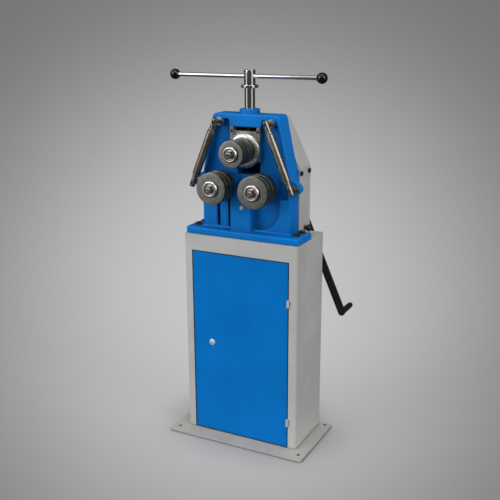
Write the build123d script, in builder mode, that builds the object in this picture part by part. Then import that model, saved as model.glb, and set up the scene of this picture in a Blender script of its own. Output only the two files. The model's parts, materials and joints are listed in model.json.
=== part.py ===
from build123d import *
import math
import os

# Hand-driven three-roll bender on a sheet-metal stand. Millimetres, +X to the right seen from
# the front, +Y to the back, +Z up, origin on the floor under the middle of the cabinet.

# Distance within which a selector takes two places as the same
tolerance = 0.01

# Base plate
base_thickness = 8.0
base_corner = 6.0
base_side_step = 45.0
base_front_step = 58.0
base_rear_step = 5.0
floor_hole = 12.0
floor_hole_side_inset = 22.0
floor_hole_front_inset = 33.0
floor_hole_rear_inset = 14.0

# Cabinet: folded sheet with a door frame, and a stiffening plate under its top
cabinet_width = 420.0
cabinet_depth = 220.0
cabinet_height = 717.0
cabinet_sheet = 2.0
cabinet_edge_radius = 8.0
stile_width = 28.5
top_rail = 55.0
frame_return = 18.0
stiffener_thickness = 8.0
stiffener_clearance = 1.0

# Door: folded pan on two lift-off hinges, quarter-turn lock
door_gap = 3.0
door_sheet = 1.5
door_return = 18.0
door_edge = 1.2
hinge_lower_height = 96.0
hinge_upper_drop = 136.0
hinge_barrel = 9.0
hinge_pin = 4.0
hinge_half = 12.0
hinge_leaf = 1.2
hinge_leaf_depth = 14.0
hinge_stand_off = 0.5
lock_inset = 70.5
lock_height = 335.0
lock_head = 22.0
lock_head_height = 4.0
lock_barrel = 16.0
lock_plug = 11.0
lock_plug_lead = 1.0
lock_square = 7.0
lock_nut_flats = 22.0
lock_nut_height = 5.0
cam_width = 16.0
cam_thickness = 3.0
cam_overlap = 9.0
cam_clearance = 4.0

# Head casting: flange, tapered body with a recessed front, bosses and ears
flange_inset = 1.0
flange_setback = 10.0
flange_side_step = 47.0
flange_front_step = 38.0
flange_thickness = 22.0
flange_corner = 8.0
flange_edge = 4.0
foot_round = 5.0
casting_depth = 66.0
casting_kink_rise = 27.0
casting_taper = 44.0
casting_height = 405.0
casting_top_corner = 13.0
casting_edge = 5.0
rim_side = 9.0
rim_top = 17.0
rim_edge = 3.0
web_thickness = 42.0
deck_drop = 36.0
pocket_floor_rise = 6.0
pocket_left_wall = 55.0
pocket_right_wall = 40.0
pocket_corner_wall = 39.0
pocket_round = 8.0
left_rib_groove = 10.0
left_rib_width = 33.0
left_rib_edge = 4.0
middle_rib_left = 51.0
middle_rib_right = 26.0
middle_rib_front = 40.0
middle_rib_drop = 13.0
middle_rib_round = 13.0
middle_rib_edge = 6.0
bearing_boss = 84.0
bearing_boss_length = 34.0
column_margin = 4.0
column_round = 5.0
spindle_boss = 67.0
spindle_boss_height = 15.0
spindle_boss_edge = 2.0
ear_step = 16.0
ear_rise = 2.0
ear_diameter = 36.0
ear_length = 26.0
ear_root_height = 64.0
corner_boss_inset = 25.0
corner_boss_drop = 26.0
corner_boss = 30.0
corner_boss_length = 26.0
head_bolt = 12.0
head_bolt_inset = 25.0
head_bolt_front_inset = 4.0
head_bolt_rear_inset = 18.0
head_bolt_flats = 19.0
head_bolt_head = 8.0
head_nut_height = 10.0
bolt_clearance = 0.5
nipple_inset = 30.0
nipple_drop = 71.0
nipple_flats = 13.0
nipple_length = 14.0
nipple_stem = 6.0
nipple_round = 1.5

# Rolls and shafts
roll_rise = 117.0
shaft = 30.0
shaft_collar = 46.0
shaft_collar_length = 12.7
shaft_stub = 16.0
stub_past_nut = 3.0
seat_setback = 2.0
lower_disc = 105.0
lower_spacer = 84.0
upper_disc = 86.0
upper_spacer = 70.0
front_disc_width = 10.0
middle_disc_width = 17.0
rear_disc_width = 31.0
spacer_width = 8.0
disc_edge = 1.0
lower_washer = 56.0
upper_washer = 52.0
washer_height = 10.0
washer_round = 2.0
washer_recess_depth = 4.0
roll_nut_flats = 24.0
roll_nut_height = 12.0
roll_nut_room = 6.0
running_fit = 0.05
axial_play = 0.3
front_bush = 42.0
front_bush_flange = 52.0
bush_flange_width = 3.0
rear_bush = 40.0

# Slide with the upper bearing, its rails and the feed spindle
slide_width = 84.0
slide_wall = 12.7
slide_floor = 20.0
slide_proud = 1.0
slide_rear_setback = 2.0
window_top_wall = 41.0
travel_down = 36.0
travel_up = 8.0
travel_margin = 4.0
window_margin = 10.0
guide_clearance = 0.2
window_clearance = 0.5
rail_width = 12.0
rail_height = 108.0
rail_proud = 2.0
tongue_height = 5.0
tongue_width = 8.0
rail_screw = 5.0
rail_screw_head = 9.0
rail_screw_head_height = 3.0
rail_screw_bite = 8.0
rail_screw_inset = 14.0
upper_bush = 40.0
upper_bush_length = 25.0
bearing_cap = 117.0
bearing_cap_length = 17.0
bearing_cap_side = 2.0
ring_nut = 44.0
ring_nut_width = 8.0
ring_nut_thread = 24.0
spindle_inset = 35.0
spindle_thread = 24.0
spindle_journal = 34.0
spindle_hub = 37.0
spindle_hub_height = 47.5
spindle_reach = 123.0
spindle_neck = 16.0
spindle_foot = 26.0
spindle_foot_height = 12.0
foot_clearance = 0.3
nut_flange = 42.0
nut_flange_height = 8.0
nut_spigot = 34.0
nut_spigot_height = 10.0
foot_pocket = 46.0
foot_pocket_depth = 17.0
thrust_plate_height = 6.0
stop_collar = 56.0
stop_collar_height = 9.0
tommy_bar = 14.0
tommy_bar_length = 520.0
tommy_bar_below_top = 20.0
tommy_bar_left_shift = 15.5
ball_knob = 35.0
ball_past_bar = 4.5

# Slanted side guides: fixed axle with a turning sleeve
guide_stand_off = 35.0
guide_axle = 19.0
guide_axle_end = 13.0
guide_sleeve = 26.0
guide_sleeve_length = 157.0
guide_ring = 23.0
guide_ring_width = 5.0
guide_stud = 14.0
guide_stud_collar = 28.0
guide_stud_collar_width = 4.0
guide_stud_bite = 20.0

# Gear drive, rear plate and cover
gear_module = 3.0
roll_gear_teeth = 30
idler_teeth = 20
gear_pressure_angle = 20.0
gear_root_depth = 1.25
gear_backlash = 0.2
gear_width = 28.0
gear_stand_off = 16.0
gear_hub = 50.0
key_width = 8.0
key_height = 7.0
key_in_shaft = 4.0
idler_stud = 20.0
idler_stud_bite = 30.0
idler_hub = 36.0
rear_plate_gap = 68.0
rear_plate = 12.0
rear_plate_rise = 55.0
rear_plate_top_gap = 43.0
post = 22.0
post_spigot = 12.0
post_spigot_bite = 14.0
post_nut_flats = 19.0
post_nut_height = 6.0
post_low_inset = 42.0
post_low_rise = 20.0
post_high_inset = 33.0
post_high_drop = 25.0
cover_depth = 90.0
cover_side_step = 3.0
cover_kink_rise = 33.0
cover_top_inset = 33.0
cover_top_drop = 12.0
cover_edge = 1.5
cover_kink_radius = 40.0
cover_top_corner = 18.0
cover_sheet = 2.0
cover_lip = 16.0
cover_clearance = 0.3
cover_shaft_hole = 42.0
cover_screw = 8.0
cover_screw_head = 16.0
cover_screw_head_height = 6.0
cover_screw_bite = 12.0
cover_screw_drop = 19.0
cover_lug = 18.0
cover_lug_height = 22.0
catch_setback = 45.0
catch_rise = 25.0
catch_length = 30.0
catch_width = 14.0
catch_top = 45.0
clamp_screw = 8.0
clamp_ball = 23.0
clamp_ball_reach = 15.0

# Crank
crank_radius = 500.0
crank_angle = 23.8
crank_gap = 10.0
crank_seat = 24.0
crank_hub = 44.0
crank_hub_length = 28.0
crank_arm_width = 24.0
crank_arm_thickness = 10.0
crank_nut_flats = 24.0
crank_nut_height = 10.0
grip_pin = 12.0
grip_pin_head = 16.0
grip_pin_head_width = 3.0
grip_diameter = 21.0
grip_length = 80.0
grip_round = 3.0

# Places of the stand
base_width = cabinet_width + 2 * base_side_step
base_depth = base_front_step + cabinet_depth + base_rear_step
floor_hole_pitch_x = base_width - 2 * floor_hole_side_inset
floor_hole_pitch_y = base_depth - floor_hole_front_inset - floor_hole_rear_inset
base_top = base_thickness
cabinet_front = -cabinet_depth / 2
cabinet_top = base_top + cabinet_height
opening_half = cabinet_width / 2 - stile_width
opening_top = cabinet_top - top_rail
door_half = opening_half - door_gap
door_bottom = base_top + door_gap
door_top = opening_top - door_gap
stiffener_top = cabinet_top - cabinet_sheet
stiffener_bottom = stiffener_top - stiffener_thickness
hinge_x = door_half + door_gap / 2
hinge_y = cabinet_front - hinge_stand_off - hinge_barrel / 2
hinge_levels = (base_top + hinge_lower_height, door_top - hinge_upper_drop)
lock_x = lock_inset - door_half
lock_z = door_bottom + lock_height
cam_front = cabinet_front + max(door_return, frame_return) + cam_clearance
cam_length = lock_inset + door_gap + cabinet_sheet + cam_overlap

# Places of the head from front to back
flange_front = cabinet_front + flange_setback
casting_front = flange_front + flange_front_step
casting_rear = casting_front + casting_depth
web_front = casting_rear - web_thickness
boss_front = web_front - bearing_boss_length
middle_rib_face = web_front - middle_rib_front
spindle_y = casting_front + spindle_inset

# Levels of the head, worked down from its top to the roll axes
flange_top = cabinet_top + flange_thickness
casting_top = cabinet_top + casting_height
boss_top = casting_top + spindle_boss_height
window_top = casting_top - window_top_wall
slide_top = window_top - travel_up - travel_margin
pocket_bottom = slide_top - foot_pocket_depth
foot_bottom = pocket_bottom - spindle_foot_height - foot_clearance
upper_axis = foot_bottom - slide_wall - upper_bush / 2
slide_bottom = upper_axis - upper_bush / 2 - slide_floor
window_bottom = slide_bottom - travel_down - window_margin
lower_axis = upper_axis - roll_rise
kink_level = lower_axis + casting_kink_rise
deck_level = lower_axis - deck_drop
pocket_floor = flange_top + pocket_floor_rise
pocket_corner = deck_level - pocket_floor - pocket_corner_wall
middle_rib_top = lower_axis - middle_rib_drop
nipple_x = middle_rib_right - nipple_inset
nipple_z = lower_axis - nipple_drop
ear_z = lower_axis + ear_rise
corner_boss_z = casting_top - corner_boss_drop

# Places of the head across its width
roll_half_pitch = gear_module * (roll_gear_teeth + idler_teeth) / 2
lower_centres = {"left": -roll_half_pitch, "right": roll_half_pitch}
flange_half = cabinet_width / 2 - flange_inset
casting_half = flange_half - flange_side_step
casting_top_half = casting_half - casting_taper
pocket_left = casting_half - pocket_left_wall
pocket_right = casting_half - pocket_right_wall
left_rib_outer = pocket_left - left_rib_groove
left_rib_inner = left_rib_outer - left_rib_width
ear_x = casting_half + ear_step
corner_boss_x = casting_top_half - corner_boss_inset
head_bolt_places = [
    (side * (flange_half - head_bolt_inset), y)
    for side in (-1, 1)
    for y in (casting_front + head_bolt_front_inset, casting_rear - head_bolt_rear_inset)
]

# Places along the roll shafts, from the bearing outwards
collar_rear = boss_front - bush_flange_width - axial_play
roll_seat = collar_rear - shaft_collar_length
stack_widths = (rear_disc_width, spacer_width, middle_disc_width, spacer_width, front_disc_width)
roll_face = roll_seat - sum(stack_widths)
washer_face = roll_face - washer_height
nut_seat = washer_face + washer_recess_depth
nut_face = nut_seat - roll_nut_height
stub_end = nut_face - stub_past_nut

# Places of the slide, the rails and the spindle
rail_front = casting_front - rail_proud
rail_inner = slide_width / 2 + guide_clearance
window_half = rail_inner + window_clearance
column_half = rail_inner + rail_width + column_margin
slide_front = rail_front - slide_proud
slide_rear = casting_rear - slide_rear_setback
tongue_y = (rail_front + web_front) / 2
cap_front = slide_front - bearing_cap_length
rail_screw_levels = (window_top - rail_screw_inset, window_top - rail_height + rail_screw_inset)
thrust_plate_top = pocket_bottom + thrust_plate_height
nut_step = window_top + nut_flange_height
nut_top = nut_step + nut_spigot_height
journal_bottom = nut_top + travel_down + axial_play
spindle_top = boss_top + spindle_reach
hub_bottom = spindle_top - spindle_hub_height
tommy_bar_z = spindle_top - tommy_bar_below_top

# Places of the side guides
guide_y = casting_front - guide_stand_off
guide_run = (ear_x - corner_boss_x, corner_boss_z - ear_z)
guide_span = math.hypot(*guide_run)

# Places of the gears, the rear plate, the cover and the crank
gear_front = casting_rear + gear_stand_off
gear_rear = gear_front + gear_width
plate_front = casting_rear + rear_plate_gap
plate_rear = plate_front + rear_plate
cover_half = casting_half + cover_side_step
cover_top_half = casting_top_half - cover_top_inset
cover_top = casting_top - cover_top_drop
cover_kink = kink_level + cover_kink_rise
cover_rear = casting_rear + cover_depth
cover_inner_half = cover_half - cover_sheet
cover_screw_z = cover_kink - cover_screw_drop
plate_bottom = cabinet_top + rear_plate_rise
plate_top = cover_top - rear_plate_top_gap
post_places = [
    (side * x, z)
    for side in (-1, 1)
    for x, z in (
        (casting_half - post_low_inset, plate_bottom + post_low_rise),
        (casting_top_half - post_high_inset, plate_top - post_high_drop),
    )
]
cover_screw_ys = (casting_rear + cover_lug / 2, (plate_front + plate_rear) / 2)
catch_y = casting_rear + catch_setback
catch_z = cabinet_top + catch_rise
clamp_ball_x = cover_half + clamp_ball_reach
crank_front = cover_rear + crank_gap
crank_rear = crank_front + crank_hub_length
arm_front = crank_rear - crank_arm_thickness
grip_x = roll_half_pitch + crank_radius * math.sin(math.radians(crank_angle))
grip_z = lower_axis - crank_radius * math.cos(math.radians(crank_angle))
grip_front = crank_rear + axial_play
grip_rear = grip_front + grip_length


def front_plane(y):
    """Sketch plane seen from the front at depth y: x to the right, z up, normal to the front."""
    return Plane.XZ.offset(-y)


def side_plane(x):
    """Sketch plane seen from the right at x: y to the right of the view, z up."""
    return Plane.YZ.offset(x)


def axis_along_y(x, z):
    """Axis of a turned piece that runs from front to back."""
    return Axis((x, 0, z), (0, 1, 0))


def turning_plane(x, z):
    """Half-section plane of a piece turned about the axis at x, z: (y, radius)."""
    return Plane(origin=(x, 0, z), x_dir=(0, 1, 0), z_dir=(1, 0, 0))


def cylinder_along_y(x, z, diameter, front, rear, mode=Mode.ADD):
    """Round bar, or with SUBTRACT a bore, from front to rear about the axis at x, z."""
    with BuildSketch(front_plane(rear)) as section:
        with Locations((x, z)):
            Circle(diameter / 2)
    extrude(section.sketch, amount=rear - front, mode=mode)


def ring_along_y(x, z, outer, bore, front, rear):
    """Plain ring from front to rear about the axis at x, z."""
    with BuildSketch(front_plane(rear)) as section:
        with Locations((x, z)):
            Circle(outer / 2)
            Circle(bore / 2, mode=Mode.SUBTRACT)
    extrude(section.sketch, amount=rear - front)


def hexagon_along_y(x, z, flats, bore, front, rear):
    """Hexagon nut or head from front to rear about the axis at x, z."""
    with BuildSketch(front_plane(rear)) as section:
        with Locations((x, z)):
            RegularPolygon(flats / 2, 6, major_radius=False)
            if bore:
                Circle(bore / 2, mode=Mode.SUBTRACT)
    extrude(section.sketch, amount=rear - front)


def cylinder_along_z(x, y, diameter, bottom, top, mode=Mode.ADD):
    """Upright round bar, or with SUBTRACT a bore, from bottom to top."""
    with BuildSketch(Plane.XY.offset(bottom)) as section:
        with Locations((x, y)):
            Circle(diameter / 2)
    extrude(section.sketch, amount=top - bottom, mode=mode)


def cylinder_along_x(y, z, diameter, left, right, mode=Mode.ADD):
    """Round bar across the machine, or with SUBTRACT a bore, from left to right."""
    with BuildSketch(side_plane(left)) as section:
        with Locations((y, z)):
            Circle(diameter / 2)
    extrude(section.sketch, amount=right - left, mode=mode)


def hood_outline(inset, floor):
    """Face of the gear cover seen from the front, inset by a wall, standing on floor."""
    lean = (cover_half - cover_top_half) / (cover_top - cover_kink)
    slant = math.hypot(1, lean)
    top = cover_top - inset
    kink = cover_kink - inset * (slant - 1) / lean
    half = cover_half - inset
    top_half = cover_half - lean * (top - cover_kink) - inset * slant
    right_side = [(half, floor), (half, kink), (top_half, top)]
    left_side = [(-x, z) for x, z in reversed(right_side)]
    Polygon(*right_side, *left_side, align=None)
    fillet(vertices().group_by(Axis.Y)[-2], cover_kink_radius)
    fillet(vertices().group_by(Axis.Y)[-1], max(cover_top_corner - inset, cover_sheet))


def gear_outline(teeth, first_tooth):
    """Spur gear seen along its axis: involute flanks at three radii, one tooth at first_tooth."""
    pitch_radius = gear_module * teeth / 2
    base_radius = pitch_radius * math.cos(math.radians(gear_pressure_angle))
    root_radius = pitch_radius - gear_root_depth * gear_module
    tip_radius = pitch_radius + gear_module
    start_radius = max(base_radius, root_radius)

    def involute(radius):
        pressure = math.acos(base_radius / radius)
        return math.tan(pressure) - pressure

    half_tooth = math.pi / (2 * teeth) - gear_backlash / (2 * pitch_radius)
    radii = (start_radius, (start_radius + tip_radius) / 2, tip_radius)
    flank = [(radius, half_tooth + involute(pitch_radius) - involute(radius)) for radius in radii]
    root_angle = flank[0][1]
    step = 2 * math.pi / teeth

    def point(radius, angle):
        return (radius * math.cos(angle), radius * math.sin(angle))

    with BuildLine() as outline:
        for tooth in range(teeth):
            centre = first_tooth + tooth * step
            rising = [point(radius, centre - angle) for radius, angle in flank]
            falling = [point(radius, centre + angle) for radius, angle in reversed(flank)]
            root_in = point(root_radius, centre - root_angle)
            root_out = point(root_radius, centre + root_angle)
            next_root = point(root_radius, centre + step - root_angle)
            mid_root = point(root_radius, centre + step / 2)
            Line(root_in, rising[0])
            ThreePointArc(*rising)
            ThreePointArc(rising[2], point(tip_radius, centre), falling[0])
            ThreePointArc(*falling)
            Line(falling[2], root_out)
            ThreePointArc(root_out, mid_root, next_root)
    make_face(outline.edges())


# Base plate: flat steel with rounded corners and holes for floor bolts.
with BuildPart() as base_plate:
    base_middle = cabinet_front - base_front_step + base_depth / 2
    hole_middle = cabinet_front - base_front_step + floor_hole_front_inset + floor_hole_pitch_y / 2
    with BuildSketch():
        with Locations((0, base_middle)):
            RectangleRounded(base_width, base_depth, base_corner)
        with Locations((0, hole_middle)):
            with GridLocations(floor_hole_pitch_x, floor_hole_pitch_y, 2, 2):
                Circle(floor_hole / 2, mode=Mode.SUBTRACT)
    extrude(amount=base_thickness)

# Cabinet shell: closed top, sides and back, door frame with folded returns, open at the base.
with BuildPart() as cabinet_shell:
    with BuildSketch(Plane.XY.offset(base_top)):
        RectangleRounded(cabinet_width, cabinet_depth, cabinet_edge_radius)
    extrude(amount=cabinet_height)
    with BuildSketch(Plane.XY.offset(base_top)):
        inner_radius = max(cabinet_edge_radius - cabinet_sheet, cabinet_sheet / 2)
        RectangleRounded(cabinet_width - 2 * cabinet_sheet, cabinet_depth - 2 * cabinet_sheet, inner_radius)
    extrude(amount=cabinet_height - cabinet_sheet, mode=Mode.SUBTRACT)
    opening_height = opening_top - base_top
    with BuildSketch(front_plane(cabinet_front + frame_return)):
        with Locations((0, base_top + (opening_height + cabinet_sheet) / 2)):
            Rectangle(2 * (opening_half + cabinet_sheet), opening_height + cabinet_sheet)
    extrude(amount=frame_return)
    with BuildSketch(front_plane(cabinet_front + frame_return)):
        with Locations((0, base_top + opening_height / 2)):
            Rectangle(2 * opening_half, opening_height)
    extrude(amount=frame_return, mode=Mode.SUBTRACT)
    for x, y in head_bolt_places:
        cylinder_along_z(x, y, head_bolt + 2 * bolt_clearance, stiffener_top, cabinet_top, Mode.SUBTRACT)

# Stiffening plate: carries the head's bolts under the thin top.
with BuildPart() as top_stiffener:
    stiffener_edge = cabinet_sheet + stiffener_clearance
    with BuildSketch(Plane.XY.offset(stiffener_bottom)):
        corner = max(cabinet_edge_radius - stiffener_edge, stiffener_clearance)
        RectangleRounded(cabinet_width - 2 * stiffener_edge, cabinet_depth - 2 * stiffener_edge, corner)
        for x, y in head_bolt_places:
            with Locations((x, y)):
                Circle(head_bolt / 2 + bolt_clearance, mode=Mode.SUBTRACT)
    extrude(amount=stiffener_thickness)

# Door: shallow folded pan that sits flush in the frame.
with BuildPart() as door_panel:
    door_height = door_top - door_bottom
    door_middle = (0, (door_top + door_bottom) / 2)
    with BuildSketch(front_plane(cabinet_front + door_return)):
        with Locations(door_middle):
            Rectangle(2 * door_half, door_height)
    extrude(amount=door_return)
    fillet(faces().sort_by(Axis.Y)[0].edges(), door_edge)
    with BuildSketch(front_plane(cabinet_front + door_return)):
        with Locations(door_middle):
            Rectangle(2 * (door_half - door_sheet), door_height - 2 * door_sheet)
    extrude(amount=door_return - door_sheet, mode=Mode.SUBTRACT)
    lock_hole = lock_barrel + 2 * running_fit
    cylinder_along_y(lock_x, lock_z, lock_hole, cabinet_front, cabinet_front + door_sheet, Mode.SUBTRACT)

# Hinges: the lower half with its pin is on the frame, the upper half lifts off with the door.
with BuildPart() as frame_hinges:
    for level in hinge_levels:
        cylinder_along_z(hinge_x, hinge_y, hinge_barrel, level - hinge_half, level)
        cylinder_along_z(hinge_x, hinge_y, hinge_pin, level, level + hinge_half)
        with BuildSketch(Plane.XY.offset(level - hinge_half)):
            leaf_rear = cabinet_front + hinge_leaf_depth
            with Locations((opening_half - hinge_leaf / 2, (hinge_y + leaf_rear) / 2)):
                Rectangle(hinge_leaf, leaf_rear - hinge_y)
        extrude(amount=hinge_half)

with BuildPart() as door_hinges:
    for level in hinge_levels:
        upper_bottom = level + axial_play
        cylinder_along_z(hinge_x, hinge_y, hinge_barrel, upper_bottom, upper_bottom + hinge_half)
        with BuildSketch(Plane.XY.offset(upper_bottom)):
            leaf_rear = cabinet_front + hinge_leaf_depth
            with Locations((door_half + hinge_leaf / 2, (hinge_y + leaf_rear) / 2)):
                Rectangle(hinge_leaf, leaf_rear - hinge_y)
        extrude(amount=hinge_half)
        pin_bore = hinge_pin + 2 * running_fit
        cylinder_along_z(hinge_x, hinge_y, pin_bore, upper_bottom, level + hinge_half, Mode.SUBTRACT)

# Lock: flanged body through the door, back nut, turning plug and the cam on its square end.
plug_bore = lock_plug + 2 * running_fit
with BuildPart() as lock_body:
    ring_along_y(lock_x, lock_z, lock_head, plug_bore, cabinet_front - lock_head_height, cabinet_front)
    ring_along_y(lock_x, lock_z, lock_barrel, plug_bore, cabinet_front, cam_front - axial_play)

with BuildPart() as lock_nut:
    nut_front = cabinet_front + door_sheet
    nut_bore = lock_barrel + 2 * running_fit
    hexagon_along_y(lock_x, lock_z, lock_nut_flats, nut_bore, nut_front, nut_front + lock_nut_height)

with BuildPart() as lock_plug_piece:
    plug_front = cabinet_front - lock_head_height - lock_plug_lead
    cylinder_along_y(lock_x, lock_z, lock_plug, plug_front, cam_front)
    with BuildSketch(front_plane(cam_front + cam_thickness)):
        with Locations((lock_x, lock_z)):
            Rectangle(lock_square, lock_square)
    extrude(amount=cam_thickness)

with BuildPart() as lock_cam:
    with BuildSketch(front_plane(cam_front + cam_thickness)):
        with BuildLine():
            Polyline(
                (lock_x - cam_width / 2, lock_z),
                (lock_x - cam_width / 2, lock_z + cam_length),
                (lock_x + cam_width / 2, lock_z + cam_length),
                (lock_x + cam_width / 2, lock_z),
            )
            ThreePointArc(
                (lock_x + cam_width / 2, lock_z),
                (lock_x, lock_z - cam_width / 2),
                (lock_x - cam_width / 2, lock_z),
            )
        make_face()
        with Locations((lock_x, lock_z)):
            Rectangle(lock_square, lock_square, mode=Mode.SUBTRACT)
    extrude(amount=cam_thickness)

# Head casting: one grey-iron piece, recessed behind a rim, ribbed below the lower rolls.
with BuildPart() as head_casting:
    with BuildSketch(Plane.XY.offset(cabinet_top)):
        with Locations((0, (flange_front + casting_rear) / 2)):
            Rectangle(2 * flange_half, casting_rear - flange_front)
        fillet(vertices().group_by(Axis.Y)[0], flange_corner)
    extrude(amount=flange_thickness)
    flange_edges = faces().sort_by(Axis.Z)[-1].edges()
    fillet(flange_edges.filter_by(lambda e: e.center().Y < casting_rear - tolerance), flange_edge)
    with BuildSketch(front_plane(casting_rear)):
        with BuildLine():
            Polyline(
                (-casting_half, flange_top - flange_edge),
                (-casting_half, kink_level),
                (-casting_top_half, casting_top),
                (casting_top_half, casting_top),
                (casting_half, kink_level),
                (casting_half, flange_top - flange_edge),
                close=True,
            )
        make_face()
        fillet(vertices().group_by(Axis.Y)[-1], casting_top_corner)
    extrude(amount=casting_depth)
    front_edges = faces().filter_by(lambda f: abs(f.center().Y - casting_front) < tolerance).edges()
    fillet(front_edges.filter_by(lambda e: e.center().Z > flange_top + casting_edge), casting_edge)
    flange_level = edges().filter_by(lambda e: abs(e.center().Z - flange_top) < tolerance)
    foot_edges = flange_level.filter_by(lambda e: abs(e.center().X) < casting_half + tolerance)
    fillet(foot_edges.filter_by(lambda e: e.center().Y > casting_front - tolerance), foot_round)
    rim_kink = casting_half - rim_side
    rim_top_half = casting_top_half - rim_side
    rim_level = casting_top - rim_top
    with BuildSketch(front_plane(web_front)):
        with BuildLine():
            Polyline(
                (pocket_right, pocket_floor),
                (-pocket_left, pocket_floor),
                (-pocket_left, deck_level),
                (-rim_kink, deck_level),
                (-rim_kink, kink_level),
                (-rim_top_half, rim_level),
                (-column_half, rim_level),
                (-column_half, window_top),
                (column_half, window_top),
                (column_half, rim_level),
                (rim_top_half, rim_level),
                (rim_kink, kink_level),
                (rim_kink, deck_level),
                (pocket_right, deck_level),
                close=True,
            )
        make_face()
        fillet(vertices().group_by(Axis.Y)[-1], pocket_round)
        fillet(vertices().filter_by(lambda v: abs(v.Y - window_top) < tolerance), column_round)
        fillet(vertices().filter_by(lambda v: abs(v.Y - deck_level) < tolerance), pocket_round)
        fillet(vertices().group_by(Axis.Y)[0].sort_by(Axis.X)[0], pocket_round)
        fillet(vertices().group_by(Axis.Y)[0].sort_by(Axis.X)[-1], pocket_corner)
    extrude(amount=web_front - casting_front, mode=Mode.SUBTRACT)
    front_face = faces().filter_by(lambda f: abs(f.center().Y - casting_front) < tolerance)[0]
    fillet(front_face.inner_wires()[0].edges(), rim_edge)
    with BuildSketch(front_plane(web_front)):
        with BuildLine():
            Polyline(
                (-left_rib_outer, pocket_floor - rim_edge),
                (-left_rib_outer, lower_axis),
                (-left_rib_inner, lower_axis),
                (-left_rib_inner, pocket_floor - rim_edge),
                close=True,
            )
        make_face()
    extrude(amount=web_front - casting_front)
    rib_edges = edges().filter_by(Axis.Z).filter_by(lambda e: abs(e.center().Y - casting_front) < tolerance)
    fillet(rib_edges.filter_by(lambda e: abs(e.center().X) < pocket_left - tolerance), left_rib_edge)
    with BuildSketch(front_plane(web_front)):
        with BuildLine():
            Polyline(
                (-middle_rib_left, flange_top - flange_edge),
                (-middle_rib_left, middle_rib_top),
                (middle_rib_right, middle_rib_top),
                (middle_rib_right, flange_top - flange_edge),
                close=True,
            )
        make_face()
        fillet(vertices().group_by(Axis.Y)[-1], middle_rib_round)
    extrude(amount=middle_rib_front)
    rib_face = faces().filter_by(lambda f: abs(f.center().Y - middle_rib_face) < tolerance)[0]
    fillet(rib_face.edges().filter_by(lambda e: e.center().Z > flange_top + tolerance), middle_rib_edge)
    for x in lower_centres.values():
        cylinder_along_y(x, lower_axis, bearing_boss, boss_front, web_front)
    for side in (-1, 1):
        with BuildSketch(front_plane(casting_front + ear_length)):
            with Locations((side * ear_x, ear_z)):
                Circle(ear_diameter / 2)
            with Locations((side * (casting_half - rim_side / 2), ear_z)):
                Rectangle(rim_side, ear_root_height)
            make_hull()
        extrude(amount=ear_length)
        boss_x = side * corner_boss_x
        cylinder_along_y(boss_x, corner_boss_z, corner_boss, web_front - corner_boss_length, web_front)
        lug_x = side * (cover_inner_half - cover_clearance - cover_lug / 2)
        with BuildSketch(front_plane(casting_rear + cover_lug)):
            with Locations((lug_x, cover_screw_z)):
                Rectangle(cover_lug, cover_lug_height)
        extrude(amount=cover_lug)
    cylinder_along_z(0, spindle_y, spindle_boss, casting_top - casting_edge, boss_top)
    fillet(faces().sort_by(Axis.Z)[-1].edges(), spindle_boss_edge)
    # Bores and the window of the slide
    for x in lower_centres.values():
        cylinder_along_y(x, lower_axis, front_bush, boss_front, casting_rear, Mode.SUBTRACT)
    with BuildSketch(front_plane(casting_rear)):
        with Locations((0, (window_top + window_bottom) / 2)):
            Rectangle(2 * window_half, window_top - window_bottom)
    extrude(amount=casting_depth, mode=Mode.SUBTRACT)
    cylinder_along_y(0, lower_axis, idler_stud, casting_rear - idler_stud_bite, casting_rear, Mode.SUBTRACT)
    cylinder_along_z(0, spindle_y, nut_flange, window_top, nut_step, Mode.SUBTRACT)
    cylinder_along_z(0, spindle_y, nut_spigot, nut_step, nut_top, Mode.SUBTRACT)
    journal_bore = spindle_journal + 2 * running_fit
    cylinder_along_z(0, spindle_y, journal_bore, nut_top, boss_top, Mode.SUBTRACT)
    for x, y in head_bolt_places:
        bolt_hole = head_bolt + 2 * bolt_clearance
        cylinder_along_z(x, y, bolt_hole, cabinet_top, flange_top, Mode.SUBTRACT)
    for side in (-1, 1):
        stud_end = casting_front + guide_stud_bite
        cylinder_along_y(side * ear_x, ear_z, guide_stud, casting_front, stud_end, Mode.SUBTRACT)
        corner_front = web_front - corner_boss_length
        stud_end = corner_front + guide_stud_bite
        boss_x = side * corner_boss_x
        cylinder_along_y(boss_x, corner_boss_z, guide_stud, corner_front, stud_end, Mode.SUBTRACT)
        rail_x = side * (rail_inner + rail_width / 2)
        screw_end = web_front + rail_screw_bite
        for level in rail_screw_levels:
            cylinder_along_y(rail_x, level, rail_screw, web_front, screw_end, Mode.SUBTRACT)
        screw_ends = sorted((side * (cover_inner_half - cover_screw_bite), side * cover_half))
        cylinder_along_x(cover_screw_ys[0], cover_screw_z, cover_screw, *screw_ends, Mode.SUBTRACT)
    for x, z in post_places:
        cylinder_along_y(x, z, post_spigot, casting_rear - post_spigot_bite, casting_rear, Mode.SUBTRACT)
    nipple_hole_end = middle_rib_face + nipple_stem
    cylinder_along_y(nipple_x, nipple_z, nipple_stem, middle_rib_face, nipple_hole_end, Mode.SUBTRACT)

# Bolts and nuts that hold the head to the cabinet top.
with BuildPart() as head_bolts:
    for x, y in head_bolt_places:
        bolt_end = stiffener_bottom - head_nut_height - stub_past_nut
        cylinder_along_z(x, y, head_bolt, bolt_end, flange_top)
        with BuildSketch(Plane.XY.offset(flange_top)):
            with Locations((x, y)):
                RegularPolygon(head_bolt_flats / 2, 6, major_radius=False)
        extrude(amount=head_bolt_head)
    with BuildSketch(Plane.XY.offset(stiffener_bottom - head_nut_height)):
        for x, y in head_bolt_places:
            with Locations((x, y)):
                RegularPolygon(head_bolt_flats / 2, 6, major_radius=False)
                Circle(head_bolt / 2 + running_fit, mode=Mode.SUBTRACT)
    extrude(amount=head_nut_height)

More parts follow.
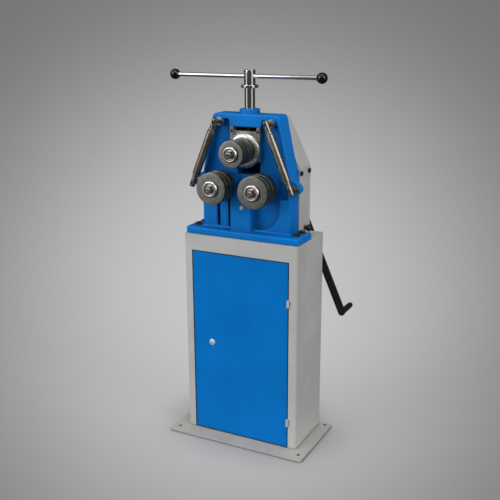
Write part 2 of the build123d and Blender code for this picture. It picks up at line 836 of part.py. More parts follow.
# Grease nipple on the middle rib: hexagon, neck and rounded head.
with BuildPart() as grease_nipple:
    nipple_head_rear = middle_rib_face - nipple_length / 2
    hexagon_along_y(nipple_x, nipple_z, nipple_flats, 0, nipple_head_rear, middle_rib_face)
    cylinder_along_y(nipple_x, nipple_z, nipple_stem, middle_rib_face - nipple_length, nipple_hole_end)
    fillet(faces().sort_by(Axis.Y)[0].edges(), nipple_round)

# Bushes of the lower shafts: flanged in the casting, plain in the rear plate.
with BuildPart() as shaft_bushes:
    for x in lower_centres.values():
        bush_bore = shaft + 2 * running_fit
        flange_face = boss_front - bush_flange_width
        ring_along_y(x, lower_axis, front_bush_flange, bush_bore, flange_face, boss_front)
        ring_along_y(x, lower_axis, front_bush, bush_bore, boss_front, casting_rear)
        ring_along_y(x, lower_axis, rear_bush, bush_bore, plate_front, plate_rear)

# Lower shafts: collar against the front bush, key for the gear, threaded stub at the front.
key_top = lower_axis + shaft / 2 - key_in_shaft + key_height
lower_shafts = {}
for side, x in lower_centres.items():
    with BuildPart() as lower_shaft:
        cylinder_along_y(x, lower_axis, shaft_stub, stub_end, roll_face + seat_setback)
        cylinder_along_y(x, lower_axis, shaft, roll_face + seat_setback, plate_rear)
        cylinder_along_y(x, lower_axis, shaft_collar, roll_seat, collar_rear)
        if side == "right":
            cylinder_along_y(x, lower_axis, crank_seat, plate_rear, crank_rear)
            crank_stub_end = crank_rear + crank_nut_height + stub_past_nut
            cylinder_along_y(x, lower_axis, shaft_stub, crank_rear, crank_stub_end)
        with BuildSketch(front_plane(gear_rear)):
            with Locations((x, key_top - key_height / 2)):
                Rectangle(key_width, key_height)
        extrude(amount=gear_width)
    lower_shafts[side] = lower_shaft

# Roll gears: keyed to the lower shafts, each with a tooth space where a tooth of the idler comes.
half_step = math.pi / roll_gear_teeth
first_teeth = {"left": half_step * ((idler_teeth + 1) % 2), "right": math.pi + half_step}
roll_gears = {}
for side, x in lower_centres.items():
    with BuildPart() as roll_gear:
        with BuildSketch(Plane(origin=(x, gear_rear, lower_axis), x_dir=(1, 0, 0), z_dir=(0, -1, 0))):
            gear_outline(roll_gear_teeth, first_teeth[side])
        extrude(amount=gear_width)
        cylinder_along_y(x, lower_axis, gear_hub, casting_rear + axial_play, gear_front)
        gear_bore = shaft + 2 * running_fit
        cylinder_along_y(x, lower_axis, gear_bore, casting_rear, gear_rear, Mode.SUBTRACT)
        with BuildSketch(front_plane(gear_rear)):
            with Locations((x, key_top - key_height / 2)):
                Rectangle(key_width + 2 * running_fit, key_height + 2 * running_fit)
        extrude(amount=gear_width, mode=Mode.SUBTRACT)
    roll_gears[side] = roll_gear

# Idler gear: runs on a fixed stud between the two roll gears, so both turn the same way.
with BuildPart() as idler_gear:
    with BuildSketch(Plane(origin=(0, gear_rear, lower_axis), x_dir=(1, 0, 0), z_dir=(0, -1, 0))):
        gear_outline(idler_teeth, 0)
    extrude(amount=gear_width)
    cylinder_along_y(0, lower_axis, idler_hub, casting_rear + axial_play, gear_front)
    cylinder_along_y(0, lower_axis, idler_hub, gear_rear, plate_front - axial_play)
    idler_bore = idler_stud + 2 * running_fit
    cylinder_along_y(0, lower_axis, idler_bore, casting_rear, plate_front, Mode.SUBTRACT)

with BuildPart() as idler_stud_piece:
    cylinder_along_y(0, lower_axis, idler_stud, casting_rear - idler_stud_bite, plate_rear)

# Rear plate: carries the back ends of the shafts, stands on posts behind the casting.
with BuildPart() as rear_plate_piece:
    with BuildSketch(front_plane(plate_rear)):
        hood_outline(cover_sheet + cover_clearance, cabinet_top)
        with Locations((0, (plate_bottom + plate_top) / 2)):
            Rectangle(2 * cover_half, plate_top - plate_bottom, mode=Mode.INTERSECT)
        for x in lower_centres.values():
            with Locations((x, lower_axis)):
                Circle(rear_bush / 2, mode=Mode.SUBTRACT)
        with Locations((0, lower_axis)):
            Circle(idler_stud / 2, mode=Mode.SUBTRACT)
        for place in post_places:
            with Locations(place):
                Circle(post_spigot / 2, mode=Mode.SUBTRACT)
    extrude(amount=rear_plate)
    for side in (-1, 1):
        screw_ends = sorted((side * (cover_inner_half - cover_screw_bite), side * cover_half))
        cylinder_along_x(cover_screw_ys[1], cover_screw_z, cover_screw, *screw_ends, Mode.SUBTRACT)

with BuildPart() as plate_posts:
    for x, z in post_places:
        cylinder_along_y(x, z, post, casting_rear, plate_front)
        cylinder_along_y(x, z, post_spigot, casting_rear - post_spigot_bite, casting_rear)
        cylinder_along_y(x, z, post_spigot, plate_front, plate_rear + post_nut_height)
        nut_bore = post_spigot + 2 * running_fit
        hexagon_along_y(x, z, post_nut_flats, nut_bore, plate_rear, plate_rear + post_nut_height)

# Gear cover: sheet hood on the cabinet top with a lip against the casting.
with BuildPart() as gear_cover:
    below_floor = cabinet_top - cover_sheet
    with BuildSketch(front_plane(cover_rear)):
        hood_outline(0, cabinet_top)
    extrude(amount=cover_depth)
    rear_edges = faces().sort_by(Axis.Y)[-1].edges()
    fillet(rear_edges.filter_by(lambda e: e.center().Z > cabinet_top + tolerance), cover_edge)
    with BuildSketch(front_plane(cover_rear - cover_sheet)):
        hood_outline(cover_sheet, below_floor)
    extrude(amount=cover_depth - 2 * cover_sheet, mode=Mode.SUBTRACT)
    with BuildSketch(front_plane(casting_rear + cover_sheet)):
        hood_outline(cover_lip, below_floor)
    extrude(amount=cover_sheet, mode=Mode.SUBTRACT)
    hole_front = cover_rear - cover_sheet
    right_x = lower_centres["right"]
    cylinder_along_y(right_x, lower_axis, cover_shaft_hole, hole_front, cover_rear, Mode.SUBTRACT)
    for side in (-1, 1):
        wall_ends = sorted((side * cover_inner_half, side * cover_half))
        for y in cover_screw_ys:
            cylinder_along_x(y, cover_screw_z, cover_screw + 2 * running_fit, *wall_ends, Mode.SUBTRACT)
    clamp_hole = clamp_screw + 2 * running_fit
    cylinder_along_x(catch_y, catch_z, clamp_hole, cover_inner_half, cover_half, Mode.SUBTRACT)
    slot_width = cover_lug + 2 * cover_clearance
    for side in (-1, 1):
        with BuildSketch(front_plane(casting_rear + cover_sheet)):
            with Locations((side * (cover_inner_half - slot_width / 2), cover_screw_z)):
                Rectangle(slot_width, cover_lug_height + 2 * cover_clearance)
        extrude(amount=cover_sheet, mode=Mode.SUBTRACT)

with BuildPart() as cover_screws:
    for side in (-1, 1):
        for y in cover_screw_ys:
            shank_ends = sorted((side * (cover_inner_half - cover_screw_bite), side * cover_half))
            cylinder_along_x(y, cover_screw_z, cover_screw, *shank_ends)
            head_ends = sorted((side * cover_half, side * (cover_half + cover_screw_head_height)))
            cylinder_along_x(y, cover_screw_z, cover_screw_head, *head_ends)

# Catch block inside the cover and the ball-headed clamp screw that holds the cover to it.
with BuildPart() as cover_catch:
    catch_right = cover_inner_half - cover_clearance
    with BuildSketch(Plane.XY.offset(cabinet_top)):
        with Locations((catch_right - catch_width / 2, catch_y)):
            Rectangle(catch_width, catch_length)
    extrude(amount=catch_top)
    clamp_bore = clamp_screw + 2 * running_fit
    cylinder_along_x(catch_y, catch_z, clamp_bore, catch_right - catch_width, catch_right, Mode.SUBTRACT)

with BuildPart() as clamp_knob:
    cylinder_along_x(catch_y, catch_z, clamp_screw, catch_right - catch_width, clamp_ball_x)
    with Locations((clamp_ball_x, catch_y, catch_z)):
        Sphere(clamp_ball / 2)

# Roll stacks: discs and spacers clamped on each shaft by a thick washer with a sunk nut.
roll_axes = {
    "lower_left": (lower_centres["left"], lower_axis, lower_disc, lower_spacer, lower_washer),
    "lower_right": (lower_centres["right"], lower_axis, lower_disc, lower_spacer, lower_washer),
    "upper": (0, upper_axis, upper_disc, upper_spacer, upper_washer),
}
stack_faces = [roll_seat]
for width in stack_widths:
    stack_faces.append(stack_faces[-1] - width)
roll_pieces = {}
for place, (x, z, disc, spacer, washer) in roll_axes.items():
    roll_bore = shaft + 2 * running_fit
    with BuildPart() as roll_discs:
        for index in (0, 2, 4):
            ring_along_y(x, z, disc, roll_bore, stack_faces[index + 1], stack_faces[index])
        rims = edges().filter_by(GeomType.CIRCLE)
        chamfer(rims.filter_by(lambda e: abs(e.radius - disc / 2) < tolerance), disc_edge)
    with BuildPart() as roll_spacers:
        for index in (1, 3):
            ring_along_y(x, z, spacer, roll_bore, stack_faces[index + 1], stack_faces[index])
    with BuildPart() as roll_washer:
        stub_bore = shaft_stub + 2 * running_fit
        ring_along_y(x, z, washer, stub_bore, washer_face, roll_face)
        fillet(faces().sort_by(Axis.Y)[0].outer_wire().edges(), washer_round)
        recess = 2 * roll_nut_flats / math.sqrt(3) + roll_nut_room
        cylinder_along_y(x, z, recess, washer_face, nut_seat, Mode.SUBTRACT)
    with BuildPart() as roll_nut:
        hexagon_along_y(x, z, roll_nut_flats, stub_bore, nut_face, nut_seat)
    roll_pieces[place] = {
        "roll_discs": roll_discs,
        "roll_spacers": roll_spacers,
        "roll_washer": roll_washer,
        "roll_nut": roll_nut,
    }

# Upper shaft: collar in front of the bearing cap, ring nut behind the slide.
upper_shaft_rear = slide_rear + axial_play
with BuildPart() as upper_shaft:
    cylinder_along_y(0, upper_axis, shaft_stub, stub_end, roll_face + seat_setback)
    cylinder_along_y(0, upper_axis, shaft, roll_face + seat_setback, upper_shaft_rear)
    cylinder_along_y(0, upper_axis, shaft_collar, roll_seat, cap_front - axial_play)
    cylinder_along_y(0, upper_axis, ring_nut_thread, upper_shaft_rear, upper_shaft_rear + ring_nut_width)

with BuildPart() as upper_ring_nut:
    ring_bore = ring_nut_thread + 2 * running_fit
    ring_rear = upper_shaft_rear + ring_nut_width
    ring_along_y(0, upper_axis, ring_nut, ring_bore, upper_shaft_rear, ring_rear)

with BuildPart() as upper_bushes:
    bush_bore = shaft + 2 * running_fit
    ring_along_y(0, upper_axis, upper_bush, bush_bore, slide_front, slide_front + upper_bush_length)
    ring_along_y(0, upper_axis, upper_bush, bush_bore, slide_rear - upper_bush_length, slide_rear)

# Bearing cap: polished round cover on the front of the slide.
with BuildPart() as bearing_cap_piece:
    cap_bore = shaft / 2 + axial_play
    with BuildSketch(turning_plane(0, upper_axis)):
        with Locations(((cap_front + slide_front) / 2, (bearing_cap / 2 + cap_bore) / 2)):
            Rectangle(bearing_cap_length, bearing_cap / 2 - cap_bore)
        fillet(vertices().sort_by(Axis.Y)[-2:].sort_by(Axis.X)[0], bearing_cap_length - bearing_cap_side)
    revolve(axis=axis_along_y(0, upper_axis))

# Slide block: grooves for the rails' tongues, pocket for the spindle's foot and thrust plate.
with BuildPart() as slide_block:
    groove_depth = tongue_height + guide_clearance
    groove_width = tongue_width + 2 * guide_clearance
    with BuildSketch(Plane.XY.offset(slide_bottom)):
        with Locations((0, (slide_front + slide_rear) / 2)):
            Rectangle(slide_width, slide_rear - slide_front)
        for side in (-1, 1):
            with Locations((side * (slide_width - groove_depth) / 2, tongue_y)):
                Rectangle(groove_depth, groove_width, mode=Mode.SUBTRACT)
    extrude(amount=slide_top - slide_bottom)
    cylinder_along_y(0, upper_axis, upper_bush, slide_front, slide_rear, Mode.SUBTRACT)
    cylinder_along_z(0, spindle_y, foot_pocket, pocket_bottom, slide_top, Mode.SUBTRACT)
    foot_bore = spindle_foot + 2 * foot_clearance
    cylinder_along_z(0, spindle_y, foot_bore, foot_bottom, pocket_bottom, Mode.SUBTRACT)

# Thrust plate: slotted disc over the spindle's neck, on the floor of the pocket.
with BuildPart() as thrust_plate:
    neck_slot = spindle_neck + 2 * foot_clearance
    with BuildSketch(Plane.XY.offset(pocket_bottom)):
        with Locations((0, spindle_y)):
            Circle(foot_pocket / 2 - foot_clearance)
            Circle(neck_slot / 2, mode=Mode.SUBTRACT)
        with Locations((0, spindle_y - foot_pocket / 2)):
            Rectangle(neck_slot, foot_pocket, mode=Mode.SUBTRACT)
    extrude(amount=thrust_plate_height)

# Guide rails beside the slide, each with a tongue, and their screws.
with BuildPart() as guide_rails:
    rail_depth = web_front - rail_front
    for side in (-1, 1):
        with BuildSketch(Plane.XY.offset(window_top - rail_height)):
            with Locations((side * (rail_inner + rail_width / 2), (web_front + rail_front) / 2)):
                Rectangle(rail_width, rail_depth)
            with Locations((side * (rail_inner - tongue_height / 2), tongue_y)):
                Rectangle(tongue_height, tongue_width)
        extrude(amount=rail_height)
        for level in rail_screw_levels:
            rail_x = side * (rail_inner + rail_width / 2)
            rail_hole = rail_screw + 2 * running_fit
            cylinder_along_y(rail_x, level, rail_hole, rail_front, web_front, Mode.SUBTRACT)
            sink = rail_screw_head + 2 * axial_play
            sink_rear = rail_front + rail_screw_head_height
            cylinder_along_y(rail_x, level, sink, rail_front, sink_rear, Mode.SUBTRACT)

with BuildPart() as rail_screws:
    for side in (-1, 1):
        rail_x = side * (rail_inner + rail_width / 2)
        for level in rail_screw_levels:
            head_rear = rail_front + rail_screw_head_height
            cylinder_along_y(rail_x, level, rail_screw_head, rail_front, head_rear)
            cylinder_along_y(rail_x, level, rail_screw, head_rear, web_front + rail_screw_bite)

# Feed spindle: foot held in the slide, thread in the nut, smooth journal in the boss, hub on top.
with BuildPart() as spindle:
    foot_top = pocket_bottom - foot_clearance / 2
    neck_top = thrust_plate_top + axial_play
    cylinder_along_z(0, spindle_y, spindle_foot, foot_top - spindle_foot_height, foot_top)
    cylinder_along_z(0, spindle_y, spindle_neck, foot_top, neck_top)
    cylinder_along_z(0, spindle_y, spindle_thread, neck_top, journal_bottom)
    cylinder_along_z(0, spindle_y, spindle_journal, journal_bottom, hub_bottom)
    cylinder_along_z(0, spindle_y, spindle_hub, hub_bottom, spindle_top)
    chamfer(faces().sort_by(Axis.Z)[-1].edges(), disc_edge)
    bar_bore = tommy_bar + 2 * running_fit
    cylinder_along_x(spindle_y, tommy_bar_z, bar_bore, -spindle_hub / 2, spindle_hub / 2, Mode.SUBTRACT)

with BuildPart() as spindle_nut:
    nut_bore = spindle_thread + 2 * running_fit
    cylinder_along_z(0, spindle_y, nut_flange, window_top, nut_step)
    cylinder_along_z(0, spindle_y, nut_spigot, nut_step, nut_top)
    cylinder_along_z(0, spindle_y, nut_bore, window_top, nut_top, Mode.SUBTRACT)

with BuildPart() as stop_collar_piece:
    collar_bottom = hub_bottom - stop_collar_height
    cylinder_along_z(0, spindle_y, stop_collar, collar_bottom, hub_bottom)
    chamfer(edges().filter_by(GeomType.CIRCLE), disc_edge)
    collar_bore = spindle_journal + 2 * running_fit
    cylinder_along_z(0, spindle_y, collar_bore, collar_bottom, hub_bottom, Mode.SUBTRACT)

# Tommy bar: slides through the hub between its two ball knobs.
bar_ends = (-tommy_bar_left_shift - tommy_bar_length / 2, tommy_bar_length / 2 - tommy_bar_left_shift)
with BuildPart() as tommy_bar_piece:
    cylinder_along_x(spindle_y, tommy_bar_z, tommy_bar, *bar_ends)

with BuildPart() as ball_knobs:
    for end, outward in zip(bar_ends, (-1, 1)):
        with Locations((end + outward * ball_past_bar, spindle_y, tommy_bar_z)):
            Sphere(ball_knob / 2)
    knob_bore = tommy_bar + 2 * running_fit
    cylinder_along_x(spindle_y, tommy_bar_z, knob_bore, *bar_ends, Mode.SUBTRACT)

# Side guides: axle on two stand-off studs, sleeve that turns on it between two rings.
guide_sleeves = {}
guide_planes = {}
for name, side in (("left", -1), ("right", 1)):
    along = (-side * guide_run[0], 0, guide_run[1])
    guide_planes[name] = Plane(origin=(side * ear_x, guide_y, ear_z), x_dir=(0, 1, 0), z_dir=along)

sleeve_start = (guide_span - guide_sleeve_length) / 2
with BuildPart() as guide_axles:
    for plane in guide_planes.values():
        with BuildSketch(plane.offset(-guide_axle_end)):
            Circle(guide_axle / 2)
        extrude(amount=guide_span + 2 * guide_axle_end)
    for side in (-1, 1):
        for x, z in ((ear_x, ear_z), (corner_boss_x, corner_boss_z)):
            stud_hole = guide_stud + 2 * running_fit
            hole_ends = (guide_y - guide_axle, guide_y + guide_axle)
            cylinder_along_y(side * x, z, stud_hole, *hole_ends, Mode.SUBTRACT)

with BuildPart() as guide_rings:
    for plane in guide_planes.values():
        ring_starts = (sleeve_start - axial_play - guide_ring_width, guide_span - sleeve_start + axial_play)
        for start in ring_starts:
            with BuildSketch(plane.offset(start)):
                Circle(guide_ring / 2)
                Circle(guide_axle / 2 + running_fit, mode=Mode.SUBTRACT)
            extrude(amount=guide_ring_width)

for name, plane in guide_planes.items():
    with BuildPart() as guide_sleeve_piece:
        with BuildSketch(plane.offset(sleeve_start)):
            Circle(guide_sleeve / 2)
            Circle(guide_axle / 2 + running_fit, mode=Mode.SUBTRACT)
        extrude(amount=guide_sleeve_length)
    guide_sleeves[name] = guide_sleeve_piece

with BuildPart() as guide_studs:
    for side in (-1, 1):
        for x, z, seat in (
            (ear_x, ear_z, casting_front),
            (corner_boss_x, corner_boss_z, web_front - corner_boss_length),
        ):
            stud_front = guide_y - guide_axle / 2
            cylinder_along_y(side * x, z, guide_stud, stud_front, seat + guide_stud_bite)
            cylinder_along_y(side * x, z, guide_stud_collar, seat - guide_stud_collar_width, seat)

# Crank: hub on the right shaft, flat arm, pin with a turning grip, end nut.
arm_down = -90 + crank_angle
with BuildPart() as crank_arm:
    right_x = lower_centres["right"]
    cylinder_along_y(right_x, lower_axis, crank_hub, crank_front, crank_rear)
    with BuildSketch(front_plane(crank_rear)):
        with Locations(((right_x + grip_x) / 2, (lower_axis + grip_z) / 2)):
            SlotCenterToCenter(crank_radius, crank_arm_width, rotation=arm_down)
    extrude(amount=crank_arm_thickness)
    hub_bore = crank_seat + 2 * running_fit
    cylinder_along_y(right_x, lower_axis, hub_bore, crank_front, crank_rear, Mode.SUBTRACT)
    cylinder_along_y(grip_x, grip_z, grip_pin + 2 * running_fit, arm_front, crank_rear, Mode.SUBTRACT)

with BuildPart() as crank_nut:
    crank_nut_bore = shaft_stub + 2 * running_fit
    crank_nut_rear = crank_rear + crank_nut_height
    hexagon_along_y(right_x, lower_axis, crank_nut_flats, crank_nut_bore, crank_rear, crank_nut_rear)

with BuildPart() as crank_grip_pin:
    head_front = grip_rear + axial_play
    cylinder_along_y(grip_x, grip_z, grip_pin, arm_front, head_front)
    cylinder_along_y(grip_x, grip_z, grip_pin_head, head_front, head_front + grip_pin_head_width)

with BuildPart() as crank_grip:
    cylinder_along_y(grip_x, grip_z, grip_diameter, grip_front, grip_rear)
    fillet(faces().sort_by(Axis.Y)[-1].edges(), grip_round)
    grip_bore = grip_pin + 2 * running_fit
    cylinder_along_y(grip_x, grip_z, grip_bore, grip_front, grip_rear, Mode.SUBTRACT)

pieces = {
    "base_plate": base_plate,
    "cabinet_shell": cabinet_shell,
    "top_stiffener": top_stiffener,
    "door_panel": door_panel,
    "frame_hinges": frame_hinges,
    "door_hinges": door_hinges,
    "lock_body": lock_body,
    "lock_nut": lock_nut,
    "lock_plug": lock_plug_piece,
    "lock_cam": lock_cam,
    "head_casting": head_casting,
    "head_bolts": head_bolts,
    "grease_nipple": grease_nipple,
    "shaft_bushes": shaft_bushes,
    "idler_gear": idler_gear,
    "idler_stud": idler_stud_piece,
    "rear_plate": rear_plate_piece,
    "plate_posts": plate_posts,
    "gear_cover": gear_cover,
    "cover_screws": cover_screws,
    "cover_catch": cover_catch,
    "clamp_knob": clamp_knob,
    "upper_shaft": upper_shaft,
    "upper_ring_nut": upper_ring_nut,
    "upper_bushes": upper_bushes,
    "bearing_cap": bearing_cap_piece,
    "slide_block": slide_block,
    "thrust_plate": thrust_plate,
    "guide_rails": guide_rails,
    "rail_screws": rail_screws,
    "spindle": spindle,
    "spindle_nut": spindle_nut,
    "stop_collar": stop_collar_piece,
    "tommy_bar": tommy_bar_piece,
    "ball_knobs": ball_knobs,
    "guide_axles": guide_axles,
    "guide_rings": guide_rings,
    "guide_studs": guide_studs,
    "crank_arm": crank_arm,
    "crank_nut": crank_nut,
    "crank_grip_pin": crank_grip_pin,
    "crank_grip": crank_grip,
}
for side in ("left", "right"):
    pieces[f"lower_{side}_shaft"] = lower_shafts[side]
    pieces[f"{side}_roll_gear"] = roll_gears[side]
    pieces[f"{side}_guide_sleeve"] = guide_sleeves[side]
for place, group in roll_pieces.items():
    pieces.update({f"{place}_{name}": piece for name, piece in group.items()})

os.makedirs("parts", exist_ok=True)
for name, piece in pieces.items():
    piece.part.label = name
    export_step(piece.part, f"parts/{name}.step")
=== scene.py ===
import json
import math

import bmesh
import bpy
import numpy as np
from mathutils import Matrix

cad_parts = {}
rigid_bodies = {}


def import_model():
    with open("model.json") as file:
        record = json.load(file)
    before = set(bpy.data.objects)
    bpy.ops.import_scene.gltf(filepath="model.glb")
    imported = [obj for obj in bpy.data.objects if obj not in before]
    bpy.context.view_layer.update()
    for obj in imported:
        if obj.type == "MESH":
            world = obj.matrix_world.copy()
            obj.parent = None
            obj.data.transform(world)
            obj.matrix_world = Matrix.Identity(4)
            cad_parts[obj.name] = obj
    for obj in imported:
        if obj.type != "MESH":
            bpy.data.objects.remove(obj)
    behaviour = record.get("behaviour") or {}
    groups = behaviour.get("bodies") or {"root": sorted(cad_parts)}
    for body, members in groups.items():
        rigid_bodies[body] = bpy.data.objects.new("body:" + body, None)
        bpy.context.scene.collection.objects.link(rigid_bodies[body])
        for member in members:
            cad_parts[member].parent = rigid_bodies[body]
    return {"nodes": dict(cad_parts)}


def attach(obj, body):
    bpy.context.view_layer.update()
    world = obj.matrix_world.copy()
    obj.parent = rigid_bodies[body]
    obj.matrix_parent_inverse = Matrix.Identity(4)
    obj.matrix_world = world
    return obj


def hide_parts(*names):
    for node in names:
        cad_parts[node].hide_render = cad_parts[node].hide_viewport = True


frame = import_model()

scene = bpy.context.scene
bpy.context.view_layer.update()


# Base plate and cabinet: sheared plate with four floor-bolt holes and a folded sheet box welded
# onto it, sprayed light grey, duller on the plate. A thicker plate under the top takes the bolts.
class Value:
    """One output of a material's nodes: arithmetic adds Math nodes, node() adds any other node."""

    def __init__(self, socket):
        self.socket = socket

    def node(self, kind, settings, inputs, output=0):
        """Adds a node: its settings first, then the values or links of its sockets."""
        tree = self.socket.id_data
        made = tree.nodes.new(kind)
        for name, setting in settings.items():
            setattr(made, name, setting)
        for key, value in inputs.items():
            if isinstance(value, Value):
                tree.links.new(value.socket, made.inputs[key])
            else:
                made.inputs[key].default_value = value
        return Value(made.outputs[output])

    def math(self, operation, *values):
        return self.node("ShaderNodeMath", {"operation": operation}, dict(enumerate(values)))

    def vector(self, operation, *values, output="Value"):
        """Vector Math node, whose result is a number unless output says Vector."""
        return self.node("ShaderNodeVectorMath", {"operation": operation}, dict(enumerate(values)), output)

    def __add__(self, other):
        return self.math("ADD", self, other)

    __radd__ = __add__

    def __sub__(self, other):
        return self.math("SUBTRACT", self, other)

    def __rsub__(self, other):
        return self.math("SUBTRACT", other, self)

    def __mul__(self, other):
        return self.math("MULTIPLY", self, other)

    __rmul__ = __mul__

    def __truediv__(self, other):
        return self.math("DIVIDE", self, other)

    def clip(self):
        return self.node("ShaderNodeClamp", {}, {"Value": self})

    def step(self, low, high):
        """0 below low, 1 above high, smooth between them."""
        settings = {"interpolation_type": "SMOOTHSTEP"}
        return self.node("ShaderNodeMapRange", settings, {0: self, 1: low, 2: high})

    def tint(self, low, high):
        """Colour that goes from low to high as this value goes from 0 to 1."""
        return self.node("ShaderNodeMix", {"data_type": "RGBA"}, {0: self, 6: low, 7: high}, 2)

    def noise(self, size, detail=2.0):
        """Clouds of about this size in metres at these coordinates, around 0.5."""
        return self.node("ShaderNodeTexNoise", {}, {"Vector": self, "Scale": 1 / size, "Detail": detail})

    def stretched(self, x, y, z):
        """These coordinates with each axis multiplied, for streaks."""
        return self.node("ShaderNodeMapping", {}, {"Vector": self, "Scale": (x, y, z)})

    def part(self, axis):
        """One of this vector's three numbers."""
        return self.node("ShaderNodeSeparateXYZ", {}, {0: self}, axis)

    def ray(self, kind):
        """1 on rays of this kind, such as Is Camera Ray, and 0 on others."""
        return self.node("ShaderNodeLightPath", {}, {}, kind)

    def clear(self, reach, samples):
        """1 where nothing is within reach of the surface, less in corners and gaps."""
        return self.node("ShaderNodeAmbientOcclusion", {"samples": samples}, {"Distance": reach}, "AO")

    def bump(self, strength, distance, **start):
        """Normal bent by this height, from the Normal in start if there is one."""
        inputs = {"Strength": strength, "Distance": distance, "Height": self, **start}
        return self.node("ShaderNodeBump", {}, inputs)


def shade_of(red, green, blue):
    """Screen colour, 0 to 255, as the linear colour that a shader takes."""
    part = np.array([red, green, blue]) / 255
    linear = np.where(part <= 0.04045, part / 12.92, ((part + 0.055) / 1.055) ** 2.4)
    return (*linear.tolist(), 1.0)


def toned(shade, factor):
    """This colour with its red, green and blue multiplied, each at most 1."""
    return tuple(min(1.0, factor * c) for c in shade[:3]) + (1.0,)


def begin_finish(name):
    """New material and its Object coordinates, from which each of its patterns starts."""
    finish = bpy.data.materials.new(name)
    finish.use_nodes = True
    coordinates = finish.node_tree.nodes.new("ShaderNodeTexCoord")
    return finish, Value(coordinates.outputs["Object"])


def close_finish(finish, sockets):
    """Gives the surface shader its sockets: a fixed value directly, a Value by a link."""
    shader = finish.node_tree.nodes["Principled BSDF"]
    for name, value in sockets.items():
        if isinstance(value, Value):
            finish.node_tree.links.new(value.socket, shader.inputs[name])
        else:
            shader.inputs[name].default_value = value
    return finish


def rounded_edges(place, radius):
    """Normal that rounds the edges by this radius, and a mask that is 1 along them."""
    soft = place.node("ShaderNodeBevel", {"samples": 6}, {"Radius": radius})
    flat = place.node("ShaderNodeNewGeometry", {}, {}, "Normal")
    return soft, (1 - soft.vector("DOT_PRODUCT", soft, flat)).step(0.02, 0.25)


def sprayed(name, paint, worn_edge_and_painted_light, edge, gloss, shine, wear_and_shade_threshold=0.42):
    """Sprayed paint: slow change of tone, orange peel, thin worn edges, painted shade in gaps and corners.
    Edges take the second colour where a noise around 0.5 is above the threshold; on the door it is a painted
    shade."""
    finish, place = begin_finish(name)
    soft, along_edge = rounded_edges(place, edge)
    coat = place.noise(0.16, 3.0).step(0.25, 0.75).tint(toned(paint, 0.90), toned(paint, 1.07))
    # Edge mask: worn paint on most finishes; on the door, with its low threshold, a painted shade along the
    # gap.
    rubbed_edge_and_painted_light = along_edge * place.noise(0.011, 4.0).step(wear_and_shade_threshold, wear_and_shade_threshold + 0.26) * 0.55
    speck = place.noise(0.0045, 1.0).step(0.73, 0.80) * 0.18
    # Painted shade: darker where other surfaces are within 12 mm, in narrow gaps and corners.
    painted_gap_shade = 0.9 * (1 - place.clear(0.012, 6)).step(0.25, 0.75)
    colour = painted_gap_shade.tint((rubbed_edge_and_painted_light + speck).clip().tint(coat, worn_edge_and_painted_light), toned(paint, 0.10))
    peel = place.noise(0.0025).bump(0.5, 0.0002, Normal=soft)
    rough = gloss + 0.16 * (place.noise(0.05, 4.0) - 0.5) + 0.15 * rubbed_edge_and_painted_light
    sockets = {"Base Color": colour, "Roughness": rough, "Normal": peel, "Specular IOR Level": shine}
    return close_finish(finish, sockets)


def cover_nodes(finish, *names):
    """Puts one finish on CAD pieces that keep their own shape."""
    for name in names:
        materials = frame["nodes"][name].data.materials
        materials.clear()
        materials.append(finish)


grey_paint = sprayed(
    "grey_paint", shade_of(176, 176, 174), shade_of(196, 196, 193), edge=0.0022, gloss=0.42, shine=0.3
)
cover_nodes(grey_paint, "cabinet_shell", "top_stiffener")
plate_paint = sprayed(
    "plate_paint", shade_of(169, 167, 163), shade_of(191, 190, 186), edge=0.0022, gloss=0.6, shine=0.05
)
cover_nodes(plate_paint, "base_plate")

# Door: folded blue pan with its skin flush in the frame, a painted shade along its edges for the gap round
# it, hung on two lift-off hinges. The hinge halves are zinc-plated barrels with short leaves.
# The dark second colour with a threshold of 0.05 is a painted shade of the gap along the door's edges.
blue_sheet = sprayed(
    "blue_paint_sheet", shade_of(0, 107, 185), shade_of(0, 6, 14), edge=0.0055, gloss=0.36, shine=0.10,
    wear_and_shade_threshold=0.05,
)
cover_nodes(blue_sheet, "door_panel")


def ground_steel(name, light, dark, gloss, along, metal=1.0):
    """Ground or drawn steel: fine streaks along one axis, clouded tone, darker edges."""
    finish, place = begin_finish(name)
    soft, along_edge = rounded_edges(place, 0.0007)
    streak = place.stretched(*along).noise(0.0016, 3.0)
    cloud = place.noise(0.03, 3.0)
    tone = (0.55 * streak + 0.45 * cloud).step(0.30, 0.70)
    colour = (tone - 0.35 * along_edge).clip().tint(dark, light)
    scored = streak.bump(0.35, 0.00006, Normal=soft)
    rough = gloss + 0.18 * (cloud - 0.5) + 0.12 * (streak - 0.5)
    sockets = {"Base Color": colour, "Metallic": metal, "Roughness": rough, "Normal": scored}
    return close_finish(finish, sockets)


zinc = ground_steel(
    "zinc_plate", shade_of(236, 236, 234), shade_of(196, 197, 199), gloss=0.30, along=(1.0, 1.0, 0.2),
    metal=0.45,
)
cover_nodes(zinc, "frame_hinges", "door_hinges")

# Lock: plated round escutcheon in the door, with a plug that turns and a key slot between
# its two half-moon faces. Behind the skin are the back nut and the flat cam.
millimetre = 0.001
along_y = (0, 1, 0)


def eased(points, cut, steps=5):
    """Outline with eased corners. Each corner is the curve (1-t)^2 before + 2t(1-t) corner + t^2 after,
    where before and after lie the cut away on its two sides."""
    points = np.asarray(points, float)
    reach = np.broadcast_to(np.asarray(cut, float), len(points))[:, None]
    back = np.roll(points, 1, axis=0) - points
    ahead = np.roll(points, -1, axis=0) - points
    before = points + reach * back / np.maximum(np.linalg.norm(back, axis=1, keepdims=True), 1e-9)
    after = points + reach * ahead / np.maximum(np.linalg.norm(ahead, axis=1, keepdims=True), 1e-9)
    t = np.linspace(0, 1, steps)[None, :, None]
    curve = (1 - t) ** 2 * before[:, None] + 2 * t * (1 - t) * points[:, None] + t**2 * after[:, None]
    return curve.reshape(-1, 2)


